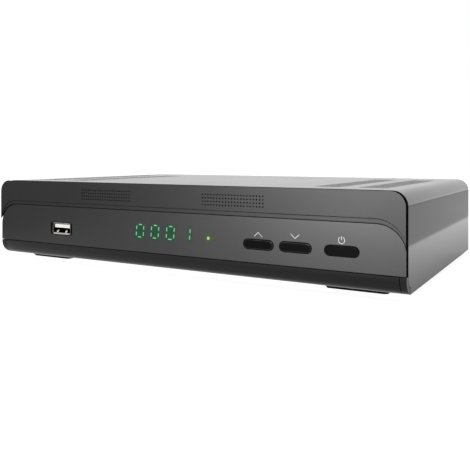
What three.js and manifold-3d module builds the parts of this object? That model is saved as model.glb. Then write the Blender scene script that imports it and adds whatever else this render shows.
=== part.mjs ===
// Satellite television receiver: a folded steel case with a moulded front, three keys and a display on
// the front board, a main board with aerial, video and audio sockets, and a mains power board.
// Lengths are millimetres. Inside the case x runs to the right, y back from the front face, and z up
// from the underside of the case, so the feet reach below zero.
import * as THREE from "three";
import { mergeVertices } from "three/addons/utils/BufferGeometryUtils.js";
import Module from "manifold-3d";

const wasm = await Module();
wasm.setup();

// Case
const caseWidth = 240;
const caseDepth = 151;
const caseHeight = 43.2;
const caseCornerRadius = 6.5;
const sheetThickness = 1;
const seatGap = 0.3;
const cutOverrun = 1;
const joinOverlap = 0.2;
const weldTolerance = 0.0001;

// Top cover
const coverSetback = 4;
const coverLipHeight = 6;
const coverLipMargin = 8;
const ventSlotLength = 14;
const ventSlotWidth = 2.1;
const ventSlotPitch = 4.2;
const ventFieldStart = 20;
const ventFieldRearInset = 30;
const ventInnerInset = 42;
const ventOuterInset = 20;

// Cover screws
const screwHeadRadius = 3;
const screwHeadHeight = 1.8;
const screwShankRadius = 1.5;
const screwShankLength = 7;
const screwSideInset = 20;

// Moulded front: its heights are shares of the case height, measured down from the top
const browStep = 0.3;
const browDepth = 0.8;
const browGrooveWidth = 0.3;
const browGrooveDepth = 0.4;
const browShoulder = 12.5;
const browTopShare = 0.2676;
const browLipShare = 0.3125;
const browEndShare = 0.5308;
const chinLineShare = 0.8079;
const lensThickness = 1.2;
const lensSeam = 0.35;
const frontDraftShare = 0.5;
const plateThickness = 1.6;
const neckInset = 2.2;
const neckDepth = 14;
const bezelWall = 1.6;
const chinSetback = 0.9;
const chinRadius = 7.2;
const chinEndWidth = 2.6;
const chinGrooveWidth = 0.4;
const chinGrooveDepth = 0.5;

// Keys
const keyWidth = 15.2;
const keyHeight = 4.25;
const keyProud = 0.3;
const keyGap = 0.3;
const keyDropShare = 0.6102;
const keyFlangeMargin = 1;
const keyFlangeThickness = 1.3;
const keyStemRadius = 2;
const keyTravel = 0.5;
const tactBodySide = 6;
const tactBodyHeight = 3.5;
const plungerRadius = 1.7;
const plungerReach = 1.2;
const plungerEngagement = 1;

// Front board
const frontBoardSetback = 15.3;
const frontBoardLeftMargin = 9.8;
const frontBoardRightMargin = 4.3;
const frontBoardTopShare = 0.2894;
const frontBoardLift = 4.2;
const boardThickness = 1.6;
const frontBossRadius = 2.4;
const frontBossInset = 3.6;

// Display, status light and remote control receiver
const displayDropShare = 0.5509;
const displayWidth = 42;
const displayHeight = 13;
const displayDepth = 8;
const displayWindowMargin = 0.8;
const displaySpacerInset = 1.5;
const lightDropShare = 0.5787;
const lightRadius = 1.2;
const lightHeadRadius = 2;
const lightHeadLength = 1.2;
const lightChipSide = 3;
const lightChipHeight = 1;
const infraredSide = 7;
const infraredDepth = 5;
const infraredDomeRadius = 2.4;
const infraredWindow = 8;
const infraredWindowRadius = 2;

// Front data socket
const usbDropShare = 0.6042;
const usbOpeningWidth = 16;
const usbOpeningHeight = 7;
const usbOpeningRadius = 1.4;
const usbSetback = 1;
const usbInnerWidth = 12.5;
const usbInnerHeight = 5.1;
const usbWall = 0.4;
const usbFlare = 0.25;
const usbFlareLength = 1.2;
const usbBackThickness = 0.8;
const usbTongueWidth = 11.3;
const usbTongueThickness = 1.9;
const usbTongueSetback = 0.6;

// Front row from left to right: the share of the free width that lies before each piece
const frontGapShares = {
  usb: 0.3312,
  infrared: 0.2392,
  display: 0.0618,
  light: 0.0319,
  up: 0.1481,
  down: 0.0114,
  power: 0.04,
};

// Chassis
const flangeHeight = 9;
const boardLift = 6;
const bossRadius = 3;
const bossInset = 6;
const floorVentLength = 30;
const floorVentWidth = 4.6;
const floorVentPitch = 9;
const floorVentStart = 24;
const floorVentRearInset = 39;
const floorVentPlaceShare = 0.3;

// Feet
const footWidth = 30;
const footDepth = 14;
const footCornerRadius = 2.5;
const footHeight = 2.6;
const footTread = 0.8;
const footTreadInset = 0.7;
const footPinRadius = 3;
const footSideInset = 26;
const footFrontInset = 21;
const footRearInset = 21;

// Main board
const mainBoardFront = 40;
const boardSideClearance = 3;
const boardSplitGap = 3;
const processorAcrossShare = 0.52;
const processorBackShare = 0.406;
const processorSide = 27;
const processorHeight = 2.4;
const sinkSide = 36;
const sinkBase = 3;
const sinkHeight = 13;
const sinkFinThickness = 1.4;
const sinkFinPitch = 5.6;
const memoryAcrossShare = 0.706;
const memoryWidth = 13;
const memoryDepth = 9;
const memoryHeight = 1.6;

// Aerial sockets and tuner
const tunerMargin = 5.5;
const tunerDepth = 40;
const tunerHeight = 17;
const tunerLidLap = 0.6;
const tunerLidHeight = 4;
const aerialReach = 9;
const aerialRise = 9;
const aerialRadius = 4.7;
const aerialChamfer = 0.6;
const aerialCoreRadius = 3.4;
const aerialCoreRecess = 0.6;
const aerialPinHole = 0.8;
const aerialPinDepth = 6;
const aerialNutFlats = 12;
const aerialNutThickness = 2.4;

// Video sockets with 21 contacts
const euroWidth = 47.5;
const euroHeight = 18;
const euroReach = 1.2;
const euroBodyDepth = 20;
const euroSlant = 3;
const euroGrooveInset = 1.6;
const euroGrooveWidth = 1.5;
const euroGrooveDepth = 11;

// Digital video and digital audio sockets
const digitalWidth = 15.2;
const digitalHeight = 5.8;
const digitalChamfer = 1.6;
const digitalWall = 0.5;
const digitalReach = 0.5;
const digitalLength = 13;
const digitalBackThickness = 1;
const digitalTongueWidth = 11;
const digitalTongueThickness = 1.3;
const digitalTongueSetback = 1.2;
const audioBodyWidth = 10.4;
const audioBodyHeight = 13;
const audioBodyDepth = 11;
const audioRise = 8;
const audioRadius = 4.15;
const audioReach = 7.6;
const audioBoreRadius = 1.7;
const audioBoreDepth = 8;

// Power board
const powerBoardFront = 40;
const insulatorThickness = 0.5;
const transformerWidth = 26;
const transformerDepth = 24;
const transformerHeight = 20;
const transformerCoreInset = 4;
const bulkRadius = 8;
const bulkHeight = 25;
const outputRadius = 5;
const outputHeight = 18;
const outputPitch = 13;
const capCrimpInset = 0.6;
const capCrimpHeight = 2;
const powerSinkLength = 24;
const powerSinkThickness = 2;
const powerSinkHeight = 22;
const powerSinkFin = 6;

// Power board: places across it, and the share of its free depth before each row of parts
const powerAcrossShares = { transformer: 0.5, bulk: 0.32, output: 0.78, sink: 0.26 };
const powerGapShares = { front: 0.18, transformer: 0.2, bulk: 0.23 };

// Mains inlet
const inletWidth = 22.5;
const inletHeight = 14;
const inletReach = 1.2;
const inletBodyDepth = 19;
const inletRise = 9;
const inletMouthWidth = 18.6;
const inletMouthHeight = 9.6;
const inletMouthDepth = 12.5;
const inletPinRadius = 1.2;
const inletPinLength = 9.5;
const inletPinPitch = 8.6;
const inletCornerShare = 0.33;
const inletFootShare = 0.67;

// Mains switch: the rocker turns about a level axis
const switchFrameClearance = 1.2;
const switchWidth = 14.6;
const switchFrameThickness = 1.4;
const switchFrameLap = 1.4;
const switchBodyDepth = 15;
const switchWall = 1.2;
const rockerWidth = 9.8;
const rockerValley = 3.2;
const rockerPivotSetback = 3.2;
const rockerTiltDegrees = 12;
const rockerPinRadius = 1;
const rockerPinLength = 0.8;
const rockerShoulderShare = 0.92;
const rockerShoulderRiseShare = 0.15;
const rockerKeelShare = 0.3;
const rockerKeelRiseShare = 0.7;

// Rear row from left to right: the share of the free width that lies before each piece
const rearGapShares = {
  inlet: 0.08,
  power_switch: 0.062,
  audio: 0.134,
  digital: 0.085,
  euro_recorder: 0.115,
  euro_tv: 0.132,
  aerial_out: 0.149,
  aerial_in: 0.084,
};

// Flat leads between the boards
const leadThickness = 0.8;
const ribbonWidth = 26;
const ribbonOffset = 20;
const ribbonSocketDepth = 4;
const ribbonSocketHeight = 5;
const powerLeadWidth = 10;
const powerLeadArch = 9;
const powerLeadInset = 2.5;
const switchLeadWidth = 5;
const switchLeadReach = 12.4;

// Steps in an arc
const cornerSteps = 8;
const roundSteps = 24;
const smallRoundSteps = 12;
const slotEndSteps = 2;
const curveSteps = 12;
const nutSides = 6;

// Places worked out from the sizes above
const halfWidth = caseWidth / 2;
const innerHalf = halfWidth - sheetThickness - seatGap;
const innerTop = caseHeight - sheetThickness - seatGap;
const panelOuter = caseDepth - sheetThickness - seatGap;
const panelInner = panelOuter - sheetThickness;
const lensBack = browDepth + lensThickness;
const plateFront = lensBack + seatGap;
const plateBack = plateFront + plateThickness;
const browTop = caseHeight * (1 - browTopShare);
const browLip = caseHeight * (1 - browLipShare);
const browEnd = caseHeight * (1 - browEndShare);
const browGroove = browTop - browGrooveWidth;
const chinLine = caseHeight * (1 - chinLineShare);
const chinTop = chinLine - lensSeam;
const chinFoot = chinSetback + chinRadius;
const chinEndThickness = coverSetback - seatGap - chinSetback;
const keyRise = caseHeight * (1 - keyDropShare);
const displayRise = caseHeight * (1 - displayDropShare);
const lightRise = caseHeight * (1 - lightDropShare);
const usbRise = caseHeight * (1 - usbDropShare);
const frontBoardTop = caseHeight * (1 - frontBoardTopShare);
const frontBoardFoot = sheetThickness + frontBoardLift;
const lipFoot = caseHeight - sheetThickness - coverLipHeight;
const screwHeight = caseHeight - sheetThickness - coverLipHeight / 2;
const boardFoot = sheetThickness + boardLift;
const boardTop = boardFoot + boardThickness;
const onBoard = boardTop + seatGap;
const boardRear = panelInner - seatGap;

// Middles of pieces in a row: each gap takes its share of the length that they leave free
function spread(sizes, gapShares, start, end) {
  const free = end - start - Object.values(sizes).reduce((sum, size) => sum + size, 0);
  const middles = {};
  let edge = start;
  for (const [name, size] of Object.entries(sizes)) {
    middles[name] = edge + free * gapShares[name] + size / 2;
    edge = middles[name] + size / 2;
  }
  return middles;
}

// Places across the front
const keyFlangeWidth = keyWidth + 2 * keyFlangeMargin;
const bezelInner = halfWidth - neckInset - bezelWall;
const frontSizes = {
  usb: usbOpeningWidth,
  infrared: infraredWindow,
  display: displayWidth,
  light: 2 * lightHeadRadius,
  up: keyFlangeWidth,
  down: keyFlangeWidth,
  power: keyFlangeWidth,
};
const frontPlaces = spread(frontSizes, frontGapShares, -bezelInner, bezelInner);
const keyPlaces = { up: frontPlaces.up, down: frontPlaces.down, power: frontPlaces.power };
const frontBoardLeft = frontPlaces.usb - usbOpeningWidth / 2 - frontBoardLeftMargin;
const frontBoardRight = frontPlaces.power + keyFlangeWidth / 2 + frontBoardRightMargin;

// Places across the rear
const aerialNutRadius = aerialNutFlats / 2 / Math.cos(Math.PI / nutSides);
const switchFrameWidth = switchWidth + 2 * switchFrameLap;
const rearSizes = {
  inlet: inletWidth,
  power_switch: switchFrameWidth,
  audio: audioBodyWidth,
  digital: digitalWidth,
  euro_recorder: euroWidth,
  euro_tv: euroWidth,
  aerial_out: 2 * aerialNutRadius,
  aerial_in: 2 * aerialNutRadius,
};
const rearPlaces = spread(rearSizes, rearGapShares, -innerHalf, innerHalf);
const screwPlaces = { left: screwSideInset - halfWidth, middle: 0, right: halfWidth - screwSideInset };

// Edges of the two boards that lie flat
const boardSplit =
  (rearPlaces.power_switch + switchFrameWidth / 2 + rearPlaces.audio - audioBodyWidth / 2) / 2;
const mainBoardLeft = boardSplit + boardSplitGap / 2;
const mainBoardRight = innerHalf - boardSideClearance;
const powerBoardLeft = boardSideClearance - innerHalf;
const powerBoardRight = boardSplit - boardSplitGap / 2;
const acrossMain = (share) => mainBoardLeft + (mainBoardRight - mainBoardLeft) * share;
const acrossPower = (share) => powerBoardLeft + (powerBoardRight - powerBoardLeft) * share;
const inletFront = panelOuter + inletReach - inletBodyDepth;
const powerSizes = { front: powerSinkLength, transformer: transformerDepth, bulk: 2 * bulkRadius };
const powerRows = spread(powerSizes, powerGapShares, powerBoardFront, inletFront);

// Finishes
const finish = (color, roughness, metalness = 0) =>
  new THREE.MeshStandardMaterial({ color, roughness, metalness });
const paintedSteel = finish(0x4a4a4c, 0.45, 0.2);
const zincSteel = finish(0xb4b6b8, 0.4, 0.9);
const brightMetal = finish(0xc8c9cc, 0.25, 1);
const frontPlastic = finish(0x2c2c2e, 0.35);
const keyPlastic = finish(0x0c0c0d, 0.3);
const blackPlastic = finish(0x141415, 0.5);
const whitePlastic = finish(0xe6e4dc, 0.5);
const orangePlastic = finish(0xd9701c, 0.45);
const footRubber = finish(0x101011, 0.8);
const boardGreen = finish(0x1d4a30, 0.55);
const boardTan = finish(0xa88a55, 0.6);
const clearSheet = finish(0xd8d2bc, 0.4);
const windingYellow = finish(0xd6b93c, 0.55);
const sleeveBlack = finish(0x1a1b20, 0.4);
const ribbonGrey = finish(0xb9bcc0, 0.6);
const aluminium = finish(0x9fa2a6, 0.45, 0.9);

// Outlines
const point = (x, y) => new THREE.Vector2(x, y);

function arc(centreX, centreY, radius, from, to, steps) {
  const points = [];
  for (let i = 0; i <= steps; i++) {
    const angle = from + ((to - from) * i) / steps;
    points.push(point(centreX + radius * Math.cos(angle), centreY + radius * Math.sin(angle)));
  }
  return points;
}

function rectangle(left, right, foot, top) {
  return [point(left, foot), point(right, foot), point(right, top), point(left, top)];
}

function roundedRectangle(x, y, width, height, radius, steps) {
  const r = Math.min(radius, width / 2, height / 2);
  const dx = width / 2 - r;
  const dy = height / 2 - r;
  return [
    ...arc(x + dx, y + dy, r, 0, Math.PI / 2, steps),
    ...arc(x - dx, y + dy, r, Math.PI / 2, Math.PI, steps),
    ...arc(x - dx, y - dy, r, Math.PI, (3 * Math.PI) / 2, steps),
    ...arc(x + dx, y - dy, r, (3 * Math.PI) / 2, 2 * Math.PI, steps),
  ];
}

// Pill lying along x: straight top and bottom with round ends
function pill(x, y, width, height, steps) {
  const dx = (width - height) / 2;
  return [
    ...arc(x + dx, y, height / 2, -Math.PI / 2, Math.PI / 2, 2 * steps),
    ...arc(x - dx, y, height / 2, Math.PI / 2, (3 * Math.PI) / 2, 2 * steps),
  ];
}

// Level foot and sides with a rounded top, as the case has it from the front
function roundedTop(half, foot, top, radius, steps) {
  return [
    point(-half, foot),
    point(half, foot),
    ...arc(half - radius, top - radius, radius, 0, Math.PI / 2, steps),
    ...arc(radius - half, top - radius, radius, Math.PI / 2, Math.PI, steps),
  ];
}

// Quarter round of the chin in y and z, at a radius round its own middle
const chinCurve = (radius) => arc(chinFoot, chinRadius, radius, Math.PI, (3 * Math.PI) / 2, curveSteps);

// Solids
function solid(geometry) {
  const bare = geometry.index ? geometry.toNonIndexed() : geometry.clone();
  bare.deleteAttribute("normal");
  bare.deleteAttribute("uv");
  const merged = mergeVertices(bare, weldTolerance);
  return new wasm.Manifold(
    new wasm.Mesh({
      numProp: 3,
      vertProperties: merged.attributes.position.array,
      triVerts: new Uint32Array(merged.index.array),
    }),
  );
}

function tidyOutline(points) {
  const kept = points.filter((p, i) => p.distanceTo(points[(i + 1) % points.length]) > weldTolerance);
  return THREE.ShapeUtils.isClockWise(kept) ? kept.reverse() : kept;
}

function extrude(points, depth, holes) {
  const shape = new THREE.Shape(tidyOutline(points));
  shape.holes = holes.map((hole) => new THREE.Path(tidyOutline(hole)));
  return new THREE.ExtrudeGeometry(shape, { depth, bevelEnabled: false, steps: 1 });
}

// Outline in x and y, standing from one height to another
function upright(points, foot, top, holes = []) {
  return solid(extrude(points, top - foot, holes).translate(0, 0, foot));
}

// Outline in x and z, running back from the front face
function running(points, front, back, holes = []) {
  return solid(extrude(points, back - front, holes).rotateX(Math.PI / 2).translate(0, back, 0));
}

// Outline in y and z, running across the case
function crossing(points, left, right, holes = []) {
  const turn = new THREE.Matrix4().makeBasis(
    new THREE.Vector3(0, 1, 0),
    new THREE.Vector3(0, 0, 1),
    new THREE.Vector3(1, 0, 0),
  );
  return solid(extrude(points, right - left, holes).applyMatrix4(turn).translate(left, 0, 0));
}

function block(left, right, front, back, foot, top) {
  const geometry = new THREE.BoxGeometry(right - left, back - front, top - foot);
  return solid(geometry.translate((left + right) / 2, (front + back) / 2, (foot + top) / 2));
}

// Turned piece on an axis along y, or along z when upright
function turned(profile, x, z, steps) {
  const geometry = new THREE.LatheGeometry(profile, steps);
  return solid(geometry.translate(x, 0, z));
}

function turnedUpright(profile, x, y, steps) {
  const geometry = new THREE.LatheGeometry(profile, steps).rotateX(Math.PI / 2);
  return solid(geometry.translate(x, y, 0));
}

// Walls between outlines of equal length that lie at different distances from the front
function loft(sections) {
  const count = sections[0].points.length;
  const positions = [];
  const index = [];
  for (const { points, y } of sections) for (const p of points) positions.push(p.x, y, p.y);
  for (let s = 0; s < sections.length - 1; s++) {
    for (let i = 0; i < count; i++) {
      const a = s * count + i;
      const b = s * count + ((i + 1) % count);
      index.push(a, a + count, b + count, a, b + count, b);
    }
  }
  const last = (sections.length - 1) * count;
  for (const [a, b, c] of THREE.ShapeUtils.triangulateShape(sections[0].points, [])) index.push(a, b, c);
  for (const [a, b, c] of THREE.ShapeUtils.triangulateShape(sections[sections.length - 1].points, []))
    index.push(last + a, last + c, last + b);
  const geometry = new THREE.BufferGeometry();
  geometry.setAttribute("position", new THREE.Float32BufferAttribute(positions, 3));
  geometry.setIndex(index);
  return solid(geometry);
}

function joined(solids) {
  return solids.reduce((whole, next) => whole.add(next));
}

function cutAll(whole, cutters) {
  return cutters.reduce((rest, cutter) => rest.subtract(cutter), whole);
}

function piece(name, shape, material) {
  const made = shape.getMesh();
  const geometry = new THREE.BufferGeometry();
  const count = made.numVert;
  const positions = new Float32Array(count * 3);
  for (let i = 0; i < count; i++) {
    positions.set(made.vertProperties.subarray(i * made.numProp, i * made.numProp + 3), i * 3);
  }
  geometry.setAttribute("position", new THREE.BufferAttribute(positions, 3));
  geometry.setIndex(new THREE.BufferAttribute(made.triVerts, 1));
  const mesh = new THREE.Mesh(geometry, material);
  mesh.name = name;
  return mesh;
}

// Rear socket places, shared by the sockets and the cut-outs of the rear panel
const aerialHeight = onBoard + aerialRise;
const aerials = { aerial_in: rearPlaces.aerial_in, aerial_out: rearPlaces.aerial_out };
const euros = {
  euro_av_socket_tv: rearPlaces.euro_tv,
  euro_av_socket_recorder: rearPlaces.euro_recorder,
};
const euroOutline = (offset, grow) => {
  const half = euroWidth / 2 + grow;
  const foot = onBoard - grow;
  const top = onBoard + euroHeight + grow;
  return [
    point(offset - half, foot),
    point(offset + half, foot),
    point(offset + half, top - euroSlant),
    point(offset + half - euroSlant, top),
    point(offset - half, top),
  ];
};
const digitalOutline = (grow) => {
  const half = digitalWidth / 2 + grow;
  const foot = onBoard - grow;
  const top = onBoard + digitalHeight + grow;
  return [
    point(rearPlaces.digital - half + digitalChamfer, foot),
    point(rearPlaces.digital + half - digitalChamfer, foot),
    point(rearPlaces.digital + half, foot + digitalChamfer),
    point(rearPlaces.digital + half, top),
    point(rearPlaces.digital - half, top),
    point(rearPlaces.digital - half, foot + digitalChamfer),
  ];
};
const audioHeight = onBoard + audioRise;
const inletMiddle = onBoard + inletRise;
const inletOutline = (grow) =>
  roundedRectangle(
    rearPlaces.inlet,
    inletMiddle,
    inletWidth + 2 * grow,
    inletHeight + 2 * grow,
    inletHeight * inletCornerShare + grow,
    slotEndSteps,
  );

// The switch fills the height between the boards and the lip of the cover, and its rocker
// is as long as can turn in that height
const switchMiddle = (onBoard + lipFoot) / 2;
const switchHalfHeight = (lipFoot - onBoard) / 2 - switchFrameClearance - switchFrameLap;
const rockerSweep = switchHalfHeight - switchWall;
const rockerPivot = panelOuter - rockerPivotSetback;
const rockerTilt = THREE.MathUtils.degToRad(rockerTiltDegrees);
const rockerTip = rockerSweep - seatGap;
const rockerHalfLength =
  Math.cos(rockerTilt) *
  (Math.sqrt(rockerTip ** 2 - (rockerValley * Math.cos(rockerTilt)) ** 2) -
    rockerValley * Math.sin(rockerTilt));
const rockerEnd = rockerValley + rockerHalfLength * Math.tan(rockerTilt);
const circle = (x, z, radius, steps) => arc(x, z, radius, 0, 2 * Math.PI, steps).slice(0, steps);

function topCover() {
  const outer = roundedTop(halfWidth, 0, caseHeight, caseCornerRadius, cornerSteps);
  const inner = roundedTop(
    halfWidth - sheetThickness,
    -cutOverrun,
    caseHeight - sheetThickness,
    caseCornerRadius - sheetThickness,
    cornerSteps,
  );
  let shell = running(outer, coverSetback, caseDepth);
  shell = shell.subtract(running(inner, coverSetback - cutOverrun, caseDepth + cutOverrun));
  const lip = block(
    coverLipMargin - halfWidth,
    halfWidth - coverLipMargin,
    caseDepth - sheetThickness,
    caseDepth,
    caseHeight - sheetThickness - coverLipHeight,
    caseHeight - sheetThickness / 2,
  );
  shell = shell.add(lip);
  const noseRadius = chinFoot - coverSetback;
  const nose = [
    point(coverSetback - cutOverrun, chinRadius),
    ...chinCurve(noseRadius),
    point(chinFoot + seatGap, chinRadius - noseRadius),
    point(chinFoot + seatGap, -cutOverrun),
    point(coverSetback - cutOverrun, -cutOverrun),
  ];
  shell = shell.subtract(crossing(nose, -halfWidth - cutOverrun, halfWidth + cutOverrun));
  const slots = [];
  const fieldLength = caseDepth - ventFieldRearInset - ventFieldStart;
  const count = Math.floor((fieldLength - ventSlotWidth) / ventSlotPitch) + 1;
  const outerStrip = halfWidth - ventOuterInset;
  const innerStrip = halfWidth - ventInnerInset;
  for (const centre of [-outerStrip, -innerStrip, innerStrip, outerStrip]) {
    for (let i = 0; i < count; i++) {
      const y = ventFieldStart + ventSlotWidth / 2 + i * ventSlotPitch;
      const outline = pill(centre, y, ventSlotLength, ventSlotWidth, slotEndSteps / 2);
      slots.push(upright(outline, caseHeight - sheetThickness - cutOverrun, caseHeight + cutOverrun));
    }
  }
  const screws = Object.values(screwPlaces).map((x) =>
    running(
      circle(x, screwHeight, screwShankRadius + seatGap, smallRoundSteps),
      caseDepth - sheetThickness - seatGap / 2,
      caseDepth + cutOverrun,
    ),
  );
  return piece("top_cover", cutAll(shell, [...slots, ...screws]), paintedSteel);
}

function coverScrew(name, x) {
  const shank = caseDepth + seatGap - screwShankLength;
  const headBack = caseDepth + seatGap;
  const profile = [
    point(0, shank),
    point(screwShankRadius, shank),
    point(screwShankRadius, headBack),
    point(screwHeadRadius, headBack),
    point(screwHeadRadius, headBack + screwHeadHeight / 2),
    point(screwHeadRadius / 2, headBack + screwHeadHeight),
    point(0, headBack + screwHeadHeight),
  ];
  return piece(name, turned(profile, x, screwHeight, smallRoundSteps), zincSteel);
}

// The brow line falls away to the sides of the case in an arc
function browLine(line, steps) {
  const fall = line - browEnd;
  const radius = (browShoulder * browShoulder + fall * fall) / (2 * fall);
  const end = Math.atan2(radius - fall, browShoulder);
  const straight = halfWidth - browShoulder;
  return [
    ...arc(-straight, line - radius, radius, Math.PI - end, Math.PI / 2, steps),
    ...arc(straight, line - radius, radius, Math.PI / 2, end, steps),
  ];
}

function hoodOutline(line) {
  const top = roundedTop(halfWidth, 0, caseHeight, caseCornerRadius, cornerSteps).slice(2);
  return [...top, ...browLine(line, cornerSteps)];
}

// The sides and the top of the front draw in towards the back by its draft
function drafted(shape, front, back) {
  const inset = (back - front) * frontDraftShare;
  const radius = caseCornerRadius - inset;
  const wide = roundedTop(halfWidth, -cutOverrun, caseHeight, caseCornerRadius, cornerSteps);
  const narrow = roundedTop(halfWidth - inset, -cutOverrun, caseHeight - inset, radius, cornerSteps);
  return shape.intersect(
    loft([
      { y: front, points: wide },
      { y: back, points: narrow },
    ]),
  );
}

function frontWindows(front, back) {
  const width = keyWidth + 2 * keyGap;
  const height = keyHeight + 2 * keyGap;
  const usb = [frontPlaces.usb, usbRise, usbOpeningWidth, usbOpeningHeight, usbOpeningRadius];
  return [
    ...Object.values(keyPlaces).map((x) =>
      running(pill(x, keyRise, width, height, cornerSteps / 2), front, back),
    ),
    running(roundedRectangle(...usb, cornerSteps / 2), front, back),
  ];
}

function frontBosses() {
  const places = [];
  for (const x of [frontBoardLeft + frontBossInset, frontBoardRight - frontBossInset]) {
    for (const z of [frontBoardFoot + frontBossInset, frontBoardTop - frontBossInset]) places.push([x, z]);
  }
  const front = plateBack - plateThickness / 2;
  const back = frontBoardSetback - seatGap;
  return places.map(([x, z]) =>
    running(circle(x, z, frontBossRadius, smallRoundSteps), front, back),
  );
}

// The chin runs out to the sides of the case in two end walls, each behind a fine groove
function chinEnds(neckHalf) {
  const side = [
    point(chinSetback, chinTop),
    ...chinCurve(chinRadius),
    ...chinCurve(chinRadius - chinEndThickness).reverse(),
    point(chinSetback + chinEndThickness, chinTop),
  ];
  return [
    crossing(side, -halfWidth, joinOverlap - neckHalf),
    crossing(side, neckHalf - joinOverlap, halfWidth),
  ];
}

function chinGrooves() {
  const side = [
    point(chinSetback - cutOverrun, chinTop + seatGap),
    ...chinCurve(chinRadius + cutOverrun),
    ...chinCurve(chinRadius - chinGrooveDepth).reverse(),
    point(chinSetback + chinGrooveDepth, chinTop + seatGap),
  ];
  const inner = halfWidth - chinEndWidth - chinGrooveWidth;
  return [
    crossing(side, -inner - chinGrooveWidth, -inner),
    crossing(side, inner, inner + chinGrooveWidth),
  ];
}

function frontBezel() {
  const hoodBack = plateFront + joinOverlap;
  const slab = (line, front, back) => running(hoodOutline(line), front, back);
  const lip = slab(browLip, browStep, hoodBack);
  const grooved = lip.subtract(slab(browGroove, -cutOverrun, browStep + browGrooveDepth));
  const stepped = grooved.add(slab(browTop, 0, browStep + browGrooveDepth + joinOverlap));
  const hood = drafted(stepped, 0, hoodBack);
  const neckHalf = halfWidth - neckInset;
  const neckTop = caseHeight - neckInset;
  const ledgeFoot = sheetThickness + seatGap;
  const outerSide = [
    point(plateFront, neckTop),
    point(plateFront, chinTop),
    point(chinSetback, chinTop),
    ...chinCurve(chinRadius),
    point(chinFoot, ledgeFoot),
    point(neckDepth, ledgeFoot),
    point(neckDepth, neckTop),
  ];
  const innerSide = [
    point(chinSetback + bezelWall, caseHeight),
    ...chinCurve(chinRadius - bezelWall),
    point(neckDepth + cutOverrun, bezelWall),
    point(neckDepth + cutOverrun, caseHeight),
  ];
  const neckOutline = roundedTop(neckHalf, -cutOverrun, neckTop, caseCornerRadius - neckInset, cornerSteps);
  const hollowOutline = roundedTop(
    neckHalf - bezelWall,
    ledgeFoot + bezelWall,
    neckTop - bezelWall,
    caseCornerRadius - neckInset - bezelWall,
    cornerSteps,
  );
  const outer = crossing(outerSide, -neckHalf - cutOverrun, neckHalf + cutOverrun).intersect(
    running(neckOutline, 0, neckDepth),
  );
  const inner = crossing(innerSide, -neckHalf, neckHalf).intersect(
    running(hollowOutline, plateBack, neckDepth + cutOverrun),
  );
  const neck = joined([outer.subtract(inner), ...frontBosses(), ...chinEnds(neckHalf)]);
  const from = plateFront - cutOverrun;
  const to = plateBack + cutOverrun;
  const windows = [
    ...frontWindows(from, to),
    running(
      rectangle(
        frontPlaces.display - displayWidth / 2 + displayWindowMargin,
        frontPlaces.display + displayWidth / 2 - displayWindowMargin,
        displayRise - displayHeight / 2 + displayWindowMargin,
        displayRise + displayHeight / 2 - displayWindowMargin,
      ),
      from,
      to,
    ),
    running(circle(frontPlaces.light, lightRise, lightRadius + seatGap, smallRoundSteps), from, to),
    running(
      roundedRectangle(
        frontPlaces.infrared,
        displayRise,
        infraredWindow,
        infraredWindow,
        infraredWindowRadius,
        slotEndSteps,
      ),
      from,
      to,
    ),
  ];
  return piece("front_bezel", cutAll(hood.add(neck), [...windows, ...chinGrooves()]), frontPlastic);
}

function fasciaLens() {
  const fall = browLip - browEnd;
  const radius = (browShoulder * browShoulder + fall * fall) / (2 * fall);
  const reach = radius - lensSeam;
  const end = Math.acos(Math.min(1, browShoulder / reach));
  const straight = halfWidth - browShoulder;
  const outline = [
    point(-halfWidth, chinLine),
    point(halfWidth, chinLine),
    ...arc(straight, browLip - radius, reach, end, Math.PI / 2, cornerSteps),
    ...arc(-straight, browLip - radius, reach, Math.PI / 2, Math.PI - end, cornerSteps),
  ];
  const plate = drafted(running(outline, browDepth, lensBack), browDepth, lensBack);
  return piece("fascia_lens", cutAll(plate, frontWindows(0, plateFront)), frontPlastic);
}

// Key front, key flange, stem and plunger follow one another back to the switch on the board
const keyFront = browDepth - keyProud;
const keyFlangeFront = plateBack + seatGap;
const keyFlangeBack = keyFlangeFront + keyFlangeThickness;
const tactFront = frontBoardSetback - seatGap - tactBodyHeight;
const plungerFront = tactFront - plungerReach;
const plungerBack = tactFront + plungerEngagement;

function key(name) {
  const cap = running(pill(0, 0, keyWidth, keyHeight, cornerSteps / 2), keyFront, keyFlangeBack);
  const flange = running(
    pill(0, 0, keyFlangeWidth, keyHeight + 2 * keyFlangeMargin, cornerSteps / 2),
    keyFlangeFront,
    keyFlangeBack,
  );
  const stem = running(
    circle(0, 0, keyStemRadius, smallRoundSteps),
    keyFlangeBack - keyFlangeThickness / 2,
    plungerFront - seatGap,
  );
  return piece(name, joined([cap, flange, stem]), keyPlastic);
}

function plunger(name) {
  const profile = [
    point(0, plungerFront),
    point(plungerRadius, plungerFront),
    point(plungerRadius, plungerBack),
    point(0, plungerBack),
  ];
  return piece(name, turned(profile, 0, 0, smallRoundSteps), whitePlastic);
}

function tactSwitch(name) {
  const half = tactBodySide / 2;
  const body = block(-half, half, tactFront, frontBoardSetback - seatGap, -half, half);
  const bore = running(
    circle(0, 0, plungerRadius + seatGap, smallRoundSteps),
    tactFront - cutOverrun,
    plungerBack + keyTravel + seatGap,
  );
  return piece(name, body.subtract(bore), blackPlastic);
}

function keys() {
  const group = new THREE.Group();
  for (const [word, offset] of Object.entries(keyPlaces)) {
    const place = new THREE.Group();
    place.position.set(offset, 0, keyRise);
    place.add(key("key_" + word), plunger("key_plunger_" + word), tactSwitch("tact_switch_" + word));
    group.add(place);
  }
  return group;
}

function frontBoard() {
  const board = block(
    frontBoardLeft,
    frontBoardRight,
    frontBoardSetback,
    frontBoardSetback + boardThickness,
    frontBoardFoot,
    frontBoardTop,
  );
  return piece("front_board", board, boardGreen);
}

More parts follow.
